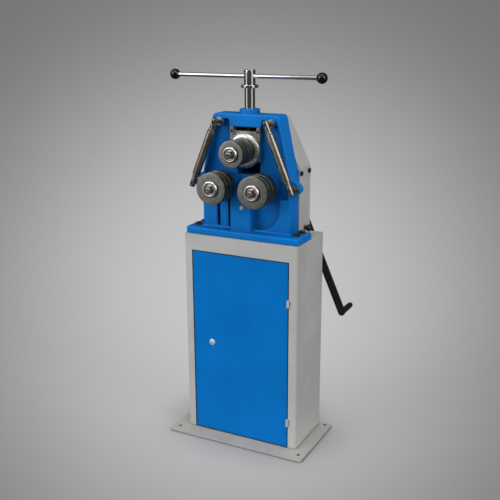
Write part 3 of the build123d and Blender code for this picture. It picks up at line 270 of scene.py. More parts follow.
def closed(section):
    """Section that runs back to its first point."""
    return np.vstack([section, section[:1]])


def closed_ring(front, rear, bore, outside, cut):
    """Section of a ring, with its four corners eased."""
    return closed(eased([(front, bore), (front, outside), (rear, outside), (rear, bore)], cut))


def turned(section, centre, axis, columns=96, flats=0.0, thread=None):
    """Section of (distance, radius) carried round an axis: point = centre + distance axis
    + radius (side cos a + up sin a). Flats hold the radius within a hexagon, row by row, and a
    thread (first, last, pitch, depth) takes a winding groove out of it."""
    section = np.asarray(section, float)
    distance, radius = section.T[:, :, None]
    angle = np.linspace(0, 2 * np.pi, columns + 1)[None, :]
    axis = np.asarray(axis, float) / np.linalg.norm(axis)
    side = np.cross(axis, (0, 0, 1))
    side = side / np.linalg.norm(side) if np.linalg.norm(side) > 1e-6 else np.array((1.0, 0, 0))
    up = np.cross(side, axis)
    across = np.broadcast_to(np.asarray(flats, float), len(distance))[:, None]
    hexagon = across / 2 / np.cos(np.mod(angle, np.pi / 3) - np.pi / 6)
    round_radius = np.broadcast_to(radius, hexagon.shape)
    radius = np.where(across > 0, np.minimum(round_radius, hexagon), round_radius)
    if thread:
        first, last, pitch, depth = thread
        groove_width, flank_width = 0.7, 0.4
        wave = np.abs(2 * np.mod(distance / pitch - angle / (2 * np.pi), 1) - 1)
        groove = np.clip((groove_width - wave) / flank_width, 0, 1) * ((distance > first) & (distance < last))
        radius = radius - depth * groove
    ring = side * np.cos(angle)[..., None] + up * np.sin(angle)[..., None]
    points = np.asarray(centre, float) + distance[..., None] * axis + radius[..., None] * ring
    steps = np.hypot(*np.diff(section, axis=0).T)
    lay = np.concatenate([[0], np.cumsum(steps)])[:, None] * np.ones_like(angle)
    return points, lay


def plain(grid):
    """Grid of points that has no turning marks: each point's lay is 0."""
    return grid, np.zeros(grid.shape[:2])


def upright(outline, centre, y):
    """Points of an outline in (x, z) about a centre, at one depth y."""
    return np.column_stack([centre[0] + outline[:, 0], np.full(len(outline), y), centre[2] + outline[:, 1]])


def quads_of(rows, columns, first=0):
    """Corners of the quads between the neighbours in a grid whose first point has this number."""
    index = first + np.arange(rows * columns).reshape(rows, columns)
    corners = (index[:-1, :-1], index[1:, :-1], index[1:, 1:], index[:-1, 1:])
    return np.stack(corners, axis=-1).reshape(-1, 4)


def make_piece(name, surfaces, finish, body, node):
    """One mesh from grids of points in millimetres: quads between neighbours, seams and poles
    merged, faces turned outward, each point keeping how far along its section it lies."""
    seam_gap = 2e-6
    sharp_angle = math.radians(27)
    points = np.concatenate([grid.reshape(-1, 3) for grid, _ in surfaces]) * millimetre
    lays = np.concatenate([lay.ravel() for _, lay in surfaces])
    quads = []
    first = 0
    for grid, lay in surfaces:
        quads.append(quads_of(*grid.shape[:2], first))
        first += lay.size
    mesh = bpy.data.meshes.new(name)
    mesh.from_pydata(points, [], np.concatenate(quads))
    mesh.attributes.new("lay", "FLOAT", "POINT").data.foreach_set("value", lays)
    shell = bmesh.new()
    shell.from_mesh(mesh)
    bmesh.ops.remove_doubles(shell, verts=shell.verts, dist=seam_gap)
    bmesh.ops.recalc_face_normals(shell, faces=shell.faces)
    shell.to_mesh(mesh)
    shell.free()
    mesh.polygons.foreach_set("use_smooth", np.ones(len(mesh.polygons), bool))
    mesh.set_sharp_from_angle(angle=sharp_angle)
    mesh.materials.append(finish)
    piece = bpy.data.objects.new(name, mesh)
    scene.collection.objects.link(piece)
    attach(piece, body)
    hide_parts(node)


def half_moon(radius, gap, front, rear, side, rows=24, columns=14):
    """Face of a split plug: across = gap + s (edge - gap), up = radius sin b, with a wall behind
    its rim. side is -1 or 1, for the left or the right of the slot."""
    b = np.linspace(-0.5 * np.pi, 0.5 * np.pi, rows)[:, None] * 0.93
    s = np.linspace(0, 1, columns)[None, :]
    up = radius * np.sin(b) * np.ones_like(s)
    edge = np.sqrt(radius**2 - up**2)
    across = np.minimum(gap, edge) + s * np.maximum(edge - gap, 0)
    face = np.stack([side * across, np.full_like(up, front), up], axis=-1)
    back = np.stack([side * across, np.full_like(up, rear), up], axis=-1)
    walls = [np.stack([face[i], back[i]]) for i in (0, -1)]
    walls += [np.stack([face[:, i], back[:, i]]) for i in (0, -1)]
    return [face, back] + walls


lock_centre = (-108.0, 0, 346.0)
lock_section = closed(eased(
    [(-113.2, 5.55), (-114, 6.6), (-114, 8.6), (-111.8, 11), (-110, 11), (-110, 8), (-88.4, 8),
     (-88.4, 5.55)],
    [0, 0.3, 1.2, 0.8, 0, 0, 0, 0],
))
lock_surface = turned(lock_section, lock_centre, along_y)
make_piece("lock_escutcheon", [lock_surface], zinc, "door", "lock_body")
plug_radius, slot_half = 5.5, 0.8
plug_face, slot_floor, plug_rear, tang_rear = -115.0, -113.4, -88.0, -85.0
plug_section = eased(
    [(slot_floor, 0), (slot_floor, plug_radius), (plug_rear, plug_radius), (plug_rear, 0)], 0
)
plug_surfaces = [turned(plug_section, lock_centre, along_y)]
for side in (-1, 1):
    for face in half_moon(plug_radius, slot_half, plug_face, slot_floor, side):
        plug_surfaces.append(plain(face + lock_centre))
square = 3.5 * np.array([(-1, -1), (1, -1), (1, 1), (-1, 1), (-1, -1)])
plug_surfaces.append(plain(np.stack([upright(square, lock_centre, y) for y in (plug_rear, tang_rear)])))
make_piece("lock_plug_face", plug_surfaces, zinc, "lock", "lock_plug")
cover_nodes(zinc, "lock_nut", "lock_cam")

# Head casting: grey iron from a sand mould, ground at its edges and painted blue, with a rim
# around a recessed web, ribs below the rolls, ears for the guides and a bolting flange.
def cast_paint(name, paint, rubbed_edge_and_painted_light):
    """Thick paint on a sand-cast skin: two sizes of grain, paler edges (wear and a painted highlight),
    painted shade in hollows.
    """
    finish, place = begin_finish(name)
    soft, along_edge = rounded_edges(place, 0.0030)
    skin = place.noise(0.0075, 3.0)
    grain = place.noise(0.0021)
    cloud = place.noise(0.09, 3.0)
    # Painted shade: darker where other surfaces are within 6 cm, in hollows and behind the rolls.
    painted_hollow_shade = 1 - place.clear(0.06, 8)
    depth = (0.96 + 0.3 * (cloud - 0.5) - 0.8 * painted_hollow_shade).clip()
    coat = depth.tint(toned(paint, 0.20), toned(paint, 1.12))
    # Paler edges: partly wear, partly a painted highlight along the edges.
    worn_edge_and_painted_light = along_edge * (0.40 + 0.4 * place.noise(0.009, 4.0).step(0.45, 0.72))
    sand = (0.7 * skin + 0.3 * grain).bump(0.55, 0.0006, Normal=soft)
    rough = 0.38 + 0.22 * (place.noise(0.03, 4.0) - 0.5)
    return close_finish(finish, {
        "Base Color": worn_edge_and_painted_light.tint(coat, rubbed_edge_and_painted_light), "Roughness": rough, "Normal": sand, "Specular IOR Level": 0.15,
    })


# The second colour is the paler edge: wear and a painted highlight.
cast_blue = cast_paint("blue_paint_cast", shade_of(0, 109, 189), shade_of(92, 150, 205))
cover_nodes(cast_blue, "head_casting")

# Head bolts: four hexagon bolts, oil-blackened, through the flange and the cabinet top, each on
# a flat washer and with its nut under the stiffening plate.
up_z = (0, 0, 1)


def oiled_steel(name, light, dark, rust, rubbed_edge_and_painted_light):
    """Oil-blackened steel: mottled near-black with a brown bloom and brighter rubbed edges."""
    finish, place = begin_finish(name)
    soft, along_edge = rounded_edges(place, 0.0006)
    mottle = place.noise(0.006, 5.0)
    bloom = place.noise(0.021, 3.0).step(0.52, 0.66) * mottle.step(0.40, 0.62)
    dull = mottle.step(0.30, 0.75).tint(dark, light)
    colour = (0.6 * along_edge).tint((0.65 * bloom).tint(dull, rust), rubbed_edge_and_painted_light)
    pitted = mottle.bump(0.3, 0.0001, Normal=soft)
    rough = 0.42 + 0.25 * bloom + 0.12 * (mottle - 0.5)
    sockets = {"Base Color": colour, "Metallic": 0.85, "Roughness": rough, "Normal": pitted}
    return close_finish(finish, sockets)


dark_steel = oiled_steel(
    "dark_steel", shade_of(78, 76, 73), shade_of(38, 37, 36), rust=shade_of(92, 66, 46),
    rubbed_edge_and_painted_light=shade_of(128, 126, 122),
)


def hexagon_rows(flats, face, seat, bore, chamfered_seat=False):
    """Section of a nut or head and the flats of its rows: a 30 degree cone at the face rises to
    the corners, the flats run to the seat."""
    corner = flats / math.sqrt(3)
    rim = 0.475 * flats
    toward = math.copysign(1, seat - face)
    cone = (corner - rim) * math.tan(math.radians(30))
    rise = np.linspace(0, 1, 9)
    front = np.column_stack([face + toward * cone * rise, rim + (corner - rim) * rise])
    if chamfered_seat:
        back = np.column_stack([seat - toward * cone * rise[::-1], rim + (corner - rim) * rise[::-1]])
    else:
        back = np.array([(seat, corner)])
    section = np.vstack([[(face, bore)], front, back, [(seat, bore)]])
    if bore:
        section = closed(section)
    return section, np.where(section[:, 1] > bore + 1e-6, flats, 0.0)


def threaded(first, last, radius, step):
    """Rows along a thread, one step apart, for the groove to be wound into."""
    rows = np.arange(first, last, step)
    return np.column_stack([rows, np.full(len(rows), radius)])


bolt_flats, bolt_radius = 19.0, 6.0
bolt_end, flange_top, head_seat, head_top = 702.0, 747.0, 748.8, 755.0
nut_low, nut_high = 705.0, 715.0
thread_low = 702.6
bolt_thread = (thread_low, nut_high, 1.75, 0.9)
head, head_flats = hexagon_rows(bolt_flats, head_top, head_seat, 0.0)
bolt_washer = eased([(flange_top, 0), (flange_top, 12), (head_seat, 12), (head_seat, 0)], [0, 0.3, 0.5, 0])
shank = np.vstack([
    [(bolt_end, 0), (bolt_end, 5.3)], threaded(thread_low, 716, bolt_radius, 0.2),
    [(flange_top, bolt_radius)],
])
bolt_nut, bolt_nut_flats = hexagon_rows(bolt_flats, nut_low, nut_high, 6.05, chamfered_seat=True)
bolt_surfaces = []
for x in (-184.0, 184.0):
    for y in (-58.0, -14.0):
        foot = (x, y, 0)
        bolt_surfaces += [
            turned(head, foot, up_z, flats=head_flats),
            turned(bolt_washer, foot, up_z),
            turned(shank, foot, up_z, columns=48, thread=bolt_thread),
            turned(bolt_nut, foot, up_z, flats=bolt_nut_flats),
        ]
make_piece("head_bolt_set", bolt_surfaces, dark_steel, "stand", "head_bolts")

# Grease nipple: bright-plated, screwed into the middle rib, with a hexagon, a waisted neck and a
# rounded tip with its ball.
nipple_centre = (-4.0, 0, 827.0)
nipple_hex, nipple_flats = hexagon_rows(13.0, -85.0, -78.0, 0.0)
nipple_tip = eased(
    [(-92, 0), (-92, 1.0), (-91.3, 1.2), (-91.3, 2.2), (-89.4, 3.0), (-88.4, 2.1), (-86.6, 2.1), (-85, 3.4),
     (-85, 0)],
    [0, 0, 0, 0.5, 0.6, 0.5, 0.5, 0, 0],
)
nipple_surfaces = [
    turned(nipple_hex, nipple_centre, along_y, flats=nipple_flats),
    turned(nipple_tip, nipple_centre, along_y, 48),
]
make_piece("grease_nipple_plated", nipple_surfaces, zinc, "stand", "grease_nipple")

# Bushes: cast bronze, pressed into the casting, the rear plate and the slide, running on oil.
# The nut of the feed screw is of the same bronze.
def cast_bronze(name, clean, stained):
    """Machined bronze: warm yellow, fine turning streaks, browner where oil has dried."""
    finish, place = begin_finish(name)
    stain = place.noise(0.012, 4.0).step(0.42, 0.66)
    scored = place.stretched(1.0, 6.0, 1.0).noise(0.002).bump(0.3, 0.00008)
    return close_finish(finish, {
        "Base Color": (0.7 * stain).tint(clean, stained), "Metallic": 1.0, "Roughness": 0.33 + 0.2 * stain,
        "Normal": scored,
    })


bronze = cast_bronze("bronze", shade_of(196, 150, 92), shade_of(120, 84, 50))
cover_nodes(bronze, "shaft_bushes", "upper_bushes", "spindle_nut")

# Gear train: three steel spur gears on the two roll shafts and a fixed stud, between the
# casting and a rear plate on four posts. It is greased and hidden by the cover.
gear_steel = ground_steel(
    "gear_steel", shade_of(150, 147, 140), shade_of(92, 89, 84), gloss=0.36, along=(1.0, 0.15, 1.0)
)
cover_nodes(gear_steel, "left_roll_gear", "right_roll_gear", "idler_gear", "idler_stud", "plate_posts")
cover_nodes(dark_steel, "rear_plate", "upper_ring_nut")

# Roll shafts: turned bar with a collar behind the roll stack and a threaded stub in front of
# it. The right one runs out through the cover to the crank, the lower two have keys.
def turned_steel(name, light, dark, gloss, pitch, depth, rim=(1.0, 1.0, 1.0)):
    """Turned steel: rings that follow the section, handling smears, a slow change of tone. Where
    the surface does not face along the shaft, its colour is multiplied by rim, a painted shade on the sides."""
    finish, place = begin_finish(name)
    soft, along_edge = rounded_edges(place, 0.0005)
    lay = place.node("ShaderNodeAttribute", {"attribute_name": "lay"}, {}, "Fac")
    along_lay = {"W": lay * (1 / pitch), "Scale": 1.0, "Detail": 3.0}
    ring = place.node("ShaderNodeTexNoise", {"noise_dimensions": "1D"}, along_lay)
    smear = place.noise(0.016, 4.0)
    tone = (0.5 * ring + 0.5 * smear).step(0.15, 0.85)
    worked = (tone + 0.3 * along_edge).clip()
    along = place.node("ShaderNodeNewGeometry", {}, {}, "Normal").part("Y")
    facing = along.math("ABSOLUTE", along).step(0.35, 0.85)
    # Painted shade: side faces darker and tinted by rim, for the darker reflections they catch.
    side_shade_light_tone, side_shade_dark_tone = [tuple(r * c for r, c in zip(rim, shade)) + (1.0,) for shade in (light, dark)]
    colour = facing.tint(worked.tint(side_shade_dark_tone, side_shade_light_tone), worked.tint(dark, light))
    rough = gloss + 0.16 * (smear - 0.5) + 0.14 * (ring - 0.5)
    scored = ring.bump(0.5, depth, Normal=soft)
    sockets = {"Base Color": colour, "Metallic": 1.0, "Roughness": rough, "Normal": scored}
    return close_finish(finish, sockets)


bright_steel = turned_steel(
    "bright_steel", shade_of(224, 222, 219), shade_of(190, 187, 183), gloss=0.12, pitch=1.1, depth=0.000006
)
roll_axes = {
    "lower_left": (-75.0, 0, 898.0),
    "lower_right": (75.0, 0, 898.0),
    "upper": (0.0, 0, 1015.0),
}
roll_bodies = {"lower_left": "left_roll", "lower_right": "right_roll", "upper": "upper_roll"}
stub_thread = (-182.1, -160.5, 2.0, 1.1)
stub_rows = np.vstack([[(-183, 0), (-183, 6.9)], threaded(-182.1, -160, 8.0, 0.2), [(-160, 8.0)]])
crank_stub = np.vstack([[(132, 12), (132, 8)], threaded(132.2, 144, 8.0, 0.2), [(145, 6.9), (145, 0)]])
shaft_rear = {
    "lower_left": [(84, 15), (84, 0)],
    "lower_right": np.vstack([[(84, 15), (84, 12)], crank_stub]),
    "upper": [(2.3, 15), (2.3, 12), (10.3, 12), (10.3, 0)],
}
collar_rear = {"lower_left": -75.3, "lower_right": -75.3, "upper": -82.3}
key = np.array([(-4, 11), (4, 11), (4, 18), (-4, 18), (-4, 11)])
key_ends = (20, 48)
for place, centre in roll_axes.items():
    rear = collar_rear[place]
    journal = eased(
        [(-160, 8), (-160, 15), (-88, 15), (-88, 23), (rear, 23), (rear, 15)], [0, 0.8, 0, 0.8, 0.8, 0]
    )
    section = np.vstack([stub_rows, journal, shaft_rear[place]])
    surfaces = [turned(section, centre, along_y, 72, thread=stub_thread)]
    if place != "upper":
        ends = [upright(key, centre, y) for y in key_ends]
        caps = [np.stack([end[[0, 1]], end[[3, 2]]]) for end in ends]
        surfaces += [plain(grid) for grid in [np.stack(ends)] + caps]
    make_piece(
        f"{place}_shaft_bar", surfaces, bright_steel, roll_bodies[place], f"{place}_shaft"
    )

# Roll stacks: three hardened discs and two smaller spacers on each shaft, clamped by a thick
# bright washer whose recess holds the hexagon nut on the stub.
# The discs' rims carry a painted shade, warmer to hold back the blue that they mirror.
roll_steel = turned_steel(
    "roll_steel", shade_of(172, 171, 164), shade_of(112, 112, 107), gloss=0.38, pitch=0.8, depth=0.00005,
    rim=(0.84, 0.74, 0.52),
)
# The washer's flank carries a dark painted shade.
washer_steel = turned_steel(
    "washer_steel", shade_of(240, 238, 235), shade_of(212, 209, 205), gloss=0.25, pitch=1.1, depth=0.000006,
    rim=(0.3, 0.29, 0.28),
)
roll_bore, stub_bore = 15.05, 8.05
disc_faces = ((-119.0, -88.0), (-144.0, -127.0), (-162.0, -152.0))
spacer_faces = ((-127.0, -119.0), (-152.0, -144.0))
disc_radius = {"lower_left": 52.5, "lower_right": 52.5, "upper": 43.0}
spacer_radius = {"lower_left": 42.0, "lower_right": 42.0, "upper": 35.0}
washer_radius = {"lower_left": 28.0, "lower_right": 28.0, "upper": 26.0}
roll_nut, roll_nut_flats = hexagon_rows(24.0, -180.0, -168.0, stub_bore)
for place, centre in roll_axes.items():
    body = roll_bodies[place]
    discs = []
    for front, rear in disc_faces:
        disc = closed_ring(front, rear, roll_bore, disc_radius[place], [0.3, 1.1, 1.1, 0.3])
        discs.append(turned(disc, centre, along_y, 144))
    make_piece(f"{place}_discs", discs, roll_steel, body, f"{place}_roll_discs")
    spacers = []
    for front, rear in spacer_faces:
        spacer = closed_ring(front, rear, roll_bore, spacer_radius[place], 0.3)
        spacers.append(turned(spacer, centre, along_y, 128))
    make_piece(f"{place}_spacers", spacers, roll_steel, body, f"{place}_roll_spacers")
    rim = washer_radius[place]
    washer_section = closed(eased(
        [(-162, stub_bore), (-162, rim), (-167.5, rim), (-172, rim - 3.8), (-172, 19.4), (-168.9, 16.86),
         (-168, 16.86), (-168, stub_bore)],
        [0, 0.4, 2.2, 1.6, 1.0, 0.6, 0.4, 0],
    ))
    washer = turned(washer_section, centre, along_y, 128)
    make_piece(f"{place}_washer", [washer], washer_steel, body, f"{place}_roll_washer")
    nut_surface = turned(roll_nut, centre, along_y, flats=roll_nut_flats)
    make_piece(f"{place}_nut", [nut_surface], gear_steel, body, f"{place}_roll_nut")

# Slide and rails: ground steel block that carries the upper shaft, held between two rails
# that are screwed to the casting. A polished round cap closes the bearing in front.
slide_steel = ground_steel(
    "slide_steel", shade_of(186, 183, 178), shade_of(128, 126, 122), gloss=0.30, along=(1.0, 1.0, 0.06)
)
cover_nodes(slide_steel, "slide_block", "guide_rails", "thrust_plate")
cap_steel = turned_steel(
    "cap_steel", shade_of(232, 230, 227), shade_of(200, 198, 195), gloss=0.28, pitch=1.1, depth=0.000006
)
cap_front, cap_rear, cap_bore, cap_radius, cap_round = -82.0, -65.0, 15.3, 58.5, 15.0
cap_turn = np.linspace(0, 0.5 * np.pi, 16)
cap_curve = np.column_stack([
    cap_front + cap_round - cap_round * np.cos(cap_turn),
    cap_radius - cap_round + cap_round * np.sin(cap_turn),
])
cap_section = closed(np.vstack([
    [(cap_front, cap_bore)], cap_curve, [(cap_rear, cap_radius), (cap_rear, cap_bore)],
]))
cap = turned(cap_section, roll_axes["upper"], along_y, 144)
make_piece("bearing_cap_polished", [cap], cap_steel, "slide", "bearing_cap")


def socket_rows(face, seat, head, socket, depth, shank, end):
    """Section and flats of a socket-head screw: hexagon pit, eased head, plain shank."""
    toward = math.copysign(1, seat - face)
    pit = face + toward * depth
    rim = eased([(face, 0.62 * head), (face, head), (seat, head), (seat, shank)], [0, 0.15 * head, 0, 0])
    section = np.vstack([[(pit, 0), (pit, socket), (face, socket)], rim, [(end, shank), (end, 0)]])
    flats = np.zeros(len(section))
    flats[1:3] = 2 * socket * math.cos(math.pi / 6)
    return section, flats


screw_section, screw_flats = socket_rows(
    face=-64.0, seat=-61.0, head=4.5, socket=2.4, depth=2.0, shank=2.5, end=-30.0
)
rail_screws = []
for x in (-48.2, 48.2):
    for z in (1075.0, 995.0):
        rail_screws.append(turned(screw_section, (x, 0, z), along_y, 48, flats=screw_flats))
make_piece("rail_screw_set", rail_screws, dark_steel, "stand", "rail_screws")

# Feed spindle: screw with a foot held in the slide and a trapezoidal thread in the bronze nut, dark
# with grease, then a polished journal and a hub on top, with a clamped stop collar under the hub.
spindle_centre = (0, -27.0, 0)
feed_low, feed_high, feed_lead = 1066.5, 1143.2, 5.0
feed_section = np.vstack([
    eased(
        [(1047.85, 0), (1047.85, 13), (1059.85, 13), (1059.85, 8), (1066.3, 8), (1066.3, 12)],
        [0, 0.8, 0.8, 0, 0, 0],
    ),
    threaded(feed_low, feed_high, 12.0, feed_lead / 10), [(1143.3, 12), (1143.3, 0)],
])
feed_screw = turned(feed_section, spindle_centre, up_z, thread=(feed_low, feed_high, feed_lead, 2.4))
make_piece("feed_screw", [feed_screw], dark_steel, "spindle", "spindle")
spindle_section = eased(
    [(1143.3, 0), (1143.3, 17), (1220.5, 17), (1220.5, 18.5), (1268, 18.5), (1268, 16.6), (1267.2, 15.9),
     (1267.2, 0)],
    [0, 0.8, 0, 0.6, 1.2, 0.2, 0.2, 0],
)
spindle = turned(spindle_section, spindle_centre, up_z)
make_piece("feed_spindle", [spindle], bright_steel, "spindle", "spindle")
collar_section = closed_ring(1211.5, 1220.5, 17.05, 28.0, [0.3, 1.4, 1.4, 0.3])
collar = turned(collar_section, spindle_centre, up_z, 128)
make_piece("stop_ring", [collar], bright_steel, "spindle", "stop_collar")

# Tommy bar: polished round bar that slides through the hub, with a black moulded ball pressed
# on each end.
bar_centre = (0, -27.0, 1248.0)
along_x = (1, 0, 0)
bar_section = eased([(-275.5, 0), (-275.5, 7), (244.5, 7), (244.5, 0)], [0, 0.8, 0.8, 0])
bar = turned(bar_section, bar_centre, along_x, 64)
make_piece("tommy_bar_rod", [bar], bright_steel, "tommy_bar", "tommy_bar")


def moulded_black(name, tone, dusty, gloss, grain):
    """Black moulded plastic: faint flow marks, dust in the grain, a clear gloss."""
    finish, place = begin_finish(name)
    flow = place.noise(0.014, 3.0)
    dust = place.noise(0.0022).step(0.62, 0.78)
    colour = (0.30 * dust).tint(flow.step(0.3, 0.7).tint(toned(tone, 0.7), tone), dusty)
    skin = place.noise(0.003).bump(0.3, grain)
    rough = gloss + 0.1 * (flow - 0.5) + 0.15 * dust
    return close_finish(finish, {"Base Color": colour, "Roughness": rough, "Normal": skin})


dusty_black = shade_of(70, 70, 70)
black_gloss = moulded_black("black_gloss", shade_of(12, 12, 13), dusty_black, gloss=0.08, grain=0.00003)


def ball_section(centre, radius, neck, neck_end):
    """Half circle of a ball, opened by a flat of the neck's radius that runs to neck_end."""
    toward = math.copysign(1, neck_end - centre)
    last = math.pi - math.asin(neck / radius)
    a = np.linspace(0, last, 40)
    arc = np.column_stack([centre - toward * radius * np.cos(a), radius * np.sin(a)])
    return np.vstack([arc, [(neck_end, neck), (neck_end, 0)]])


ball_radius, ball_neck = 17.5, 8.6
balls = [
    turned(ball_section(-280.0, ball_radius, ball_neck, -264.4), bar_centre, along_x),
    turned(ball_section(249.0, ball_radius, ball_neck, 233.4), bar_centre, along_x),
]
make_piece("bar_balls", balls, black_gloss, "tommy_bar", "ball_knobs")

# Side guides: fixed axle at each side, leaning inwards, drilled from the front at both ends for the
# screws of its stand-off studs, with a sleeve that turns on it between two clamped rings.
guide_steel = turned_steel(
    "guide_steel", shade_of(172, 168, 160), shade_of(120, 116, 110), gloss=0.36, pitch=1.4, depth=0.00001
)
guide_low = {"left": np.array([-178.0, -97.0, 900.0]), "right": np.array([178.0, -97.0, 900.0])}
guide_high = {"left": np.array([-93.0, -97.0, 1104.0]), "right": np.array([93.0, -97.0, 1104.0])}
low_seat, high_seat = -62.0, -64.0
axle_radius, groove_radius, guide_bore, sleeve_length = 9.5, 8.8, 9.55, 157.0
hole_radius, hole_wall, hole_depth = 4.0, 0.8, 6.5
span = float(np.linalg.norm(guide_high["left"] - guide_low["left"]))
sleeve_start = (span - sleeve_length) / 2
sleeve_end = sleeve_start + sleeve_length
sleeve_section = closed_ring(sleeve_start, sleeve_end, guide_bore, 13.0, [0.2, 2.0, 2.0, 0.2])
ring_sections = [
    closed_ring(start, start + 5, guide_bore, 11.5, [0.2, 1.2, 1.2, 0.2])
    for start in (sleeve_start - 5.3, span - sleeve_start + 0.3)
]
grooved = [(6, axle_radius)]
for start in (sleeve_start - 12, span - sleeve_start + 10.5):
    grooved += [(start, axle_radius), (start, groove_radius)]
    grooved += [(start + 1.5, groove_radius), (start + 1.5, axle_radius)]
grooved.append((span - 6, axle_radius))
drilled = np.column_stack([np.linspace(-6, 6, 31), np.full(31, axle_radius)])
axle_section = np.vstack([
    eased([(-13, 0), (-13, axle_radius), (-6, axle_radius)], [0, 1.4, 0]), drilled,
    eased(grooved, [0] + 8 * [0.2] + [0]), drilled + (span, 0),
    eased([(span + 6, axle_radius), (span + 13, axle_radius), (span + 13, 0)], [0, 1.4, 0]),
])
axle_surfaces = []
ring_surfaces = []
stud_surfaces = []
for side in ("left", "right"):
    low, high = guide_low[side], guide_high[side]
    lean = high - low
    axle, lay = turned(axle_section, low, lean, 144)
    for foot in (low, high):
        from_hole = np.hypot(axle[..., 0] - foot[0], axle[..., 2] - foot[2])
        dent = np.clip((hole_radius + hole_wall - from_hole) / hole_wall, 0, 1)
        axle[..., 1] += hole_depth * dent * (axle[..., 1] < foot[1])
    axle_surfaces.append((axle, lay))
    ring_surfaces += [turned(section, low, lean, 72) for section in ring_sections]
    sleeve = turned(sleeve_section, low, lean)
    make_piece(
        f"{side}_sleeve", [sleeve], guide_steel, f"{side}_guide", f"{side}_guide_sleeve"
    )
    for foot, seat in ((low, low_seat), (high, high_seat)):
        stud_section = eased(
            [(-97, 0), (-97, 7), (seat - 4, 7), (seat - 4, 14), (seat, 14), (seat, 7), (seat + 20, 7),
             (seat + 20, 0)],
            [0, 0, 0, 0.8, 0, 0, 0, 0],
        )
        stud_surfaces.append(turned(stud_section, (foot[0], 0, foot[2]), along_y, 64))
make_piece("guide_axle_bars", axle_surfaces, guide_steel, "stand", "guide_axles")
make_piece("guide_clamp_rings", ring_surfaces, guide_steel, "stand", "guide_rings")
make_piece("guide_stand_offs", stud_surfaces, guide_steel, "stand", "guide_studs")

# Gear cover: folded and welded sheet hood in the cabinet's grey, held by four cap screws at its
# flanks and by a ball-headed clamp screw in a block on the cabinet top.
cover_nodes(grey_paint, "gear_cover")
cover_nodes(dark_steel, "cover_catch")
cap_screw, cap_screw_flats = socket_rows(
    face=171.0, seat=165.0, head=8.0, socket=3.6, depth=3.4, shank=4.0, end=151.0
)
cover_screws = []
for side in (-1, 1):
    for y in (13.0, 78.0):
        cover_screws.append(turned(cap_screw, (0, y, 939.0), (side, 0, 0), 64, flats=cap_screw_flats))
make_piece("cover_cap_screws", cover_screws, dark_steel, "stand", "cover_screws")
clamp_section = np.vstack([
    ball_section(180.0, 11.5, 5.6, 168.4)[:-1],
    eased([(166.6, 5.6), (166.6, 4), (148.7, 4), (148.7, 0)], [0.3, 0, 0.4, 0]),
])
clamp = turned(clamp_section, (0, 49.0, 750.0), along_x, 72)
make_piece("clamp_ball_screw", [clamp], black_gloss, "cover_clamp", "clamp_knob")

# Crank: flat black arm welded to a hub on the right shaft, with a nut at its end and a plastic
# grip that turns on a headed pin.
black_paint = sprayed(
    "black_paint", shade_of(20, 20, 21), shade_of(66, 64, 62), edge=0.0016, gloss=0.36, shine=0.3
)
cover_nodes(black_paint, "crank_arm")
crank_axis = roll_axes["lower_right"]
crank_reach, crank_angle = 500.0, math.radians(23.8)
end_nut, end_nut_flats = hexagon_rows(24.0, 142.0, 132.0, stub_bore)
crank_nut = turned(end_nut, crank_axis, along_y, flats=end_nut_flats)
make_piece("crank_end_nut", [crank_nut], dark_steel, "right_roll", "crank_nut")
grip_x = crank_axis[0] + crank_reach * math.sin(crank_angle)
grip_z = crank_axis[2] - crank_reach * math.cos(crank_angle)
grip_centre = (grip_x, 0, grip_z)
pin_section = eased(
    [(122, 0), (122, 6), (212.6, 6), (212.6, 8), (215.6, 8), (215.6, 0)], [0, 0.3, 0, 0.2, 1.0, 0]
)
pin = turned(pin_section, grip_centre, along_y, 64)
make_piece("grip_pin", [pin], dark_steel, "right_roll", "crank_grip_pin")
grip_plastic = moulded_black("grip_plastic", shade_of(27, 27, 28), dusty_black, gloss=0.34, grain=0.00010)
grip_share = np.linspace(0, 1, 40)
grip_swell = 9.4 + np.sin(np.pi * grip_share) ** 0.8
grip_section = closed(np.vstack([
    [(132.3, 6.05), (132.3, 8.4), (133.0, 9.1)], np.column_stack([134.3 + 76.0 * grip_share, grip_swell]),
    [(211.4, 8.8), (212.3, 7.6), (212.3, 6.05)],
]))
grip = turned(grip_section, grip_centre, along_y, 80)
make_piece("crank_hand_grip", [grip], grip_plastic, "crank_grip", "crank_grip")

# Studio: long lens from the front right, mid-grey paper with a round pale pool of painted light, laid as if a
# beam from the same side met it, two large soft lamps in front, a small one above, one low behind that
# lights the machine and not the paper, and a surround that is brighter in front than behind.
black = (0, 0, 0, 1)
white = (1, 1, 1, 1)
dim_wall = (0.06, 0.06, 0.06, 1)
pale_panel = (0.95, 0.95, 0.95, 1)
pale_board = (0.8, 0.8, 0.8, 1)


def placed(side, up, back, place):
    """Matrix of a camera or lamp, from the directions of its three axes and its place."""
    matrix = np.eye(4)
    matrix[:3] = np.column_stack([side, up, back, place])
    return Matrix(matrix.tolist())


yaw, pitch, roll = 0.474397, 0.276351, -0.004694
camera_place = (1.21017, -2.38758, 1.42208)
forward = np.array([-math.sin(yaw) * math.cos(pitch), math.cos(yaw) * math.cos(pitch), -math.sin(pitch)])
level = np.array([math.cos(yaw), math.sin(yaw), 0.0])
upward = np.cross(level, forward)
lens = bpy.data.cameras.new("studio_camera")
lens.lens = 58.52
lens.sensor_width = 36.0
camera = bpy.data.objects.new("studio_camera", lens)
camera.matrix_world = placed(
    math.cos(roll) * level + math.sin(roll) * upward, math.cos(roll) * upward - math.sin(roll) * level,
    -forward, camera_place,
)
scene.collection.objects.link(camera)
scene.camera = camera
scene.view_settings.view_transform = "Standard"

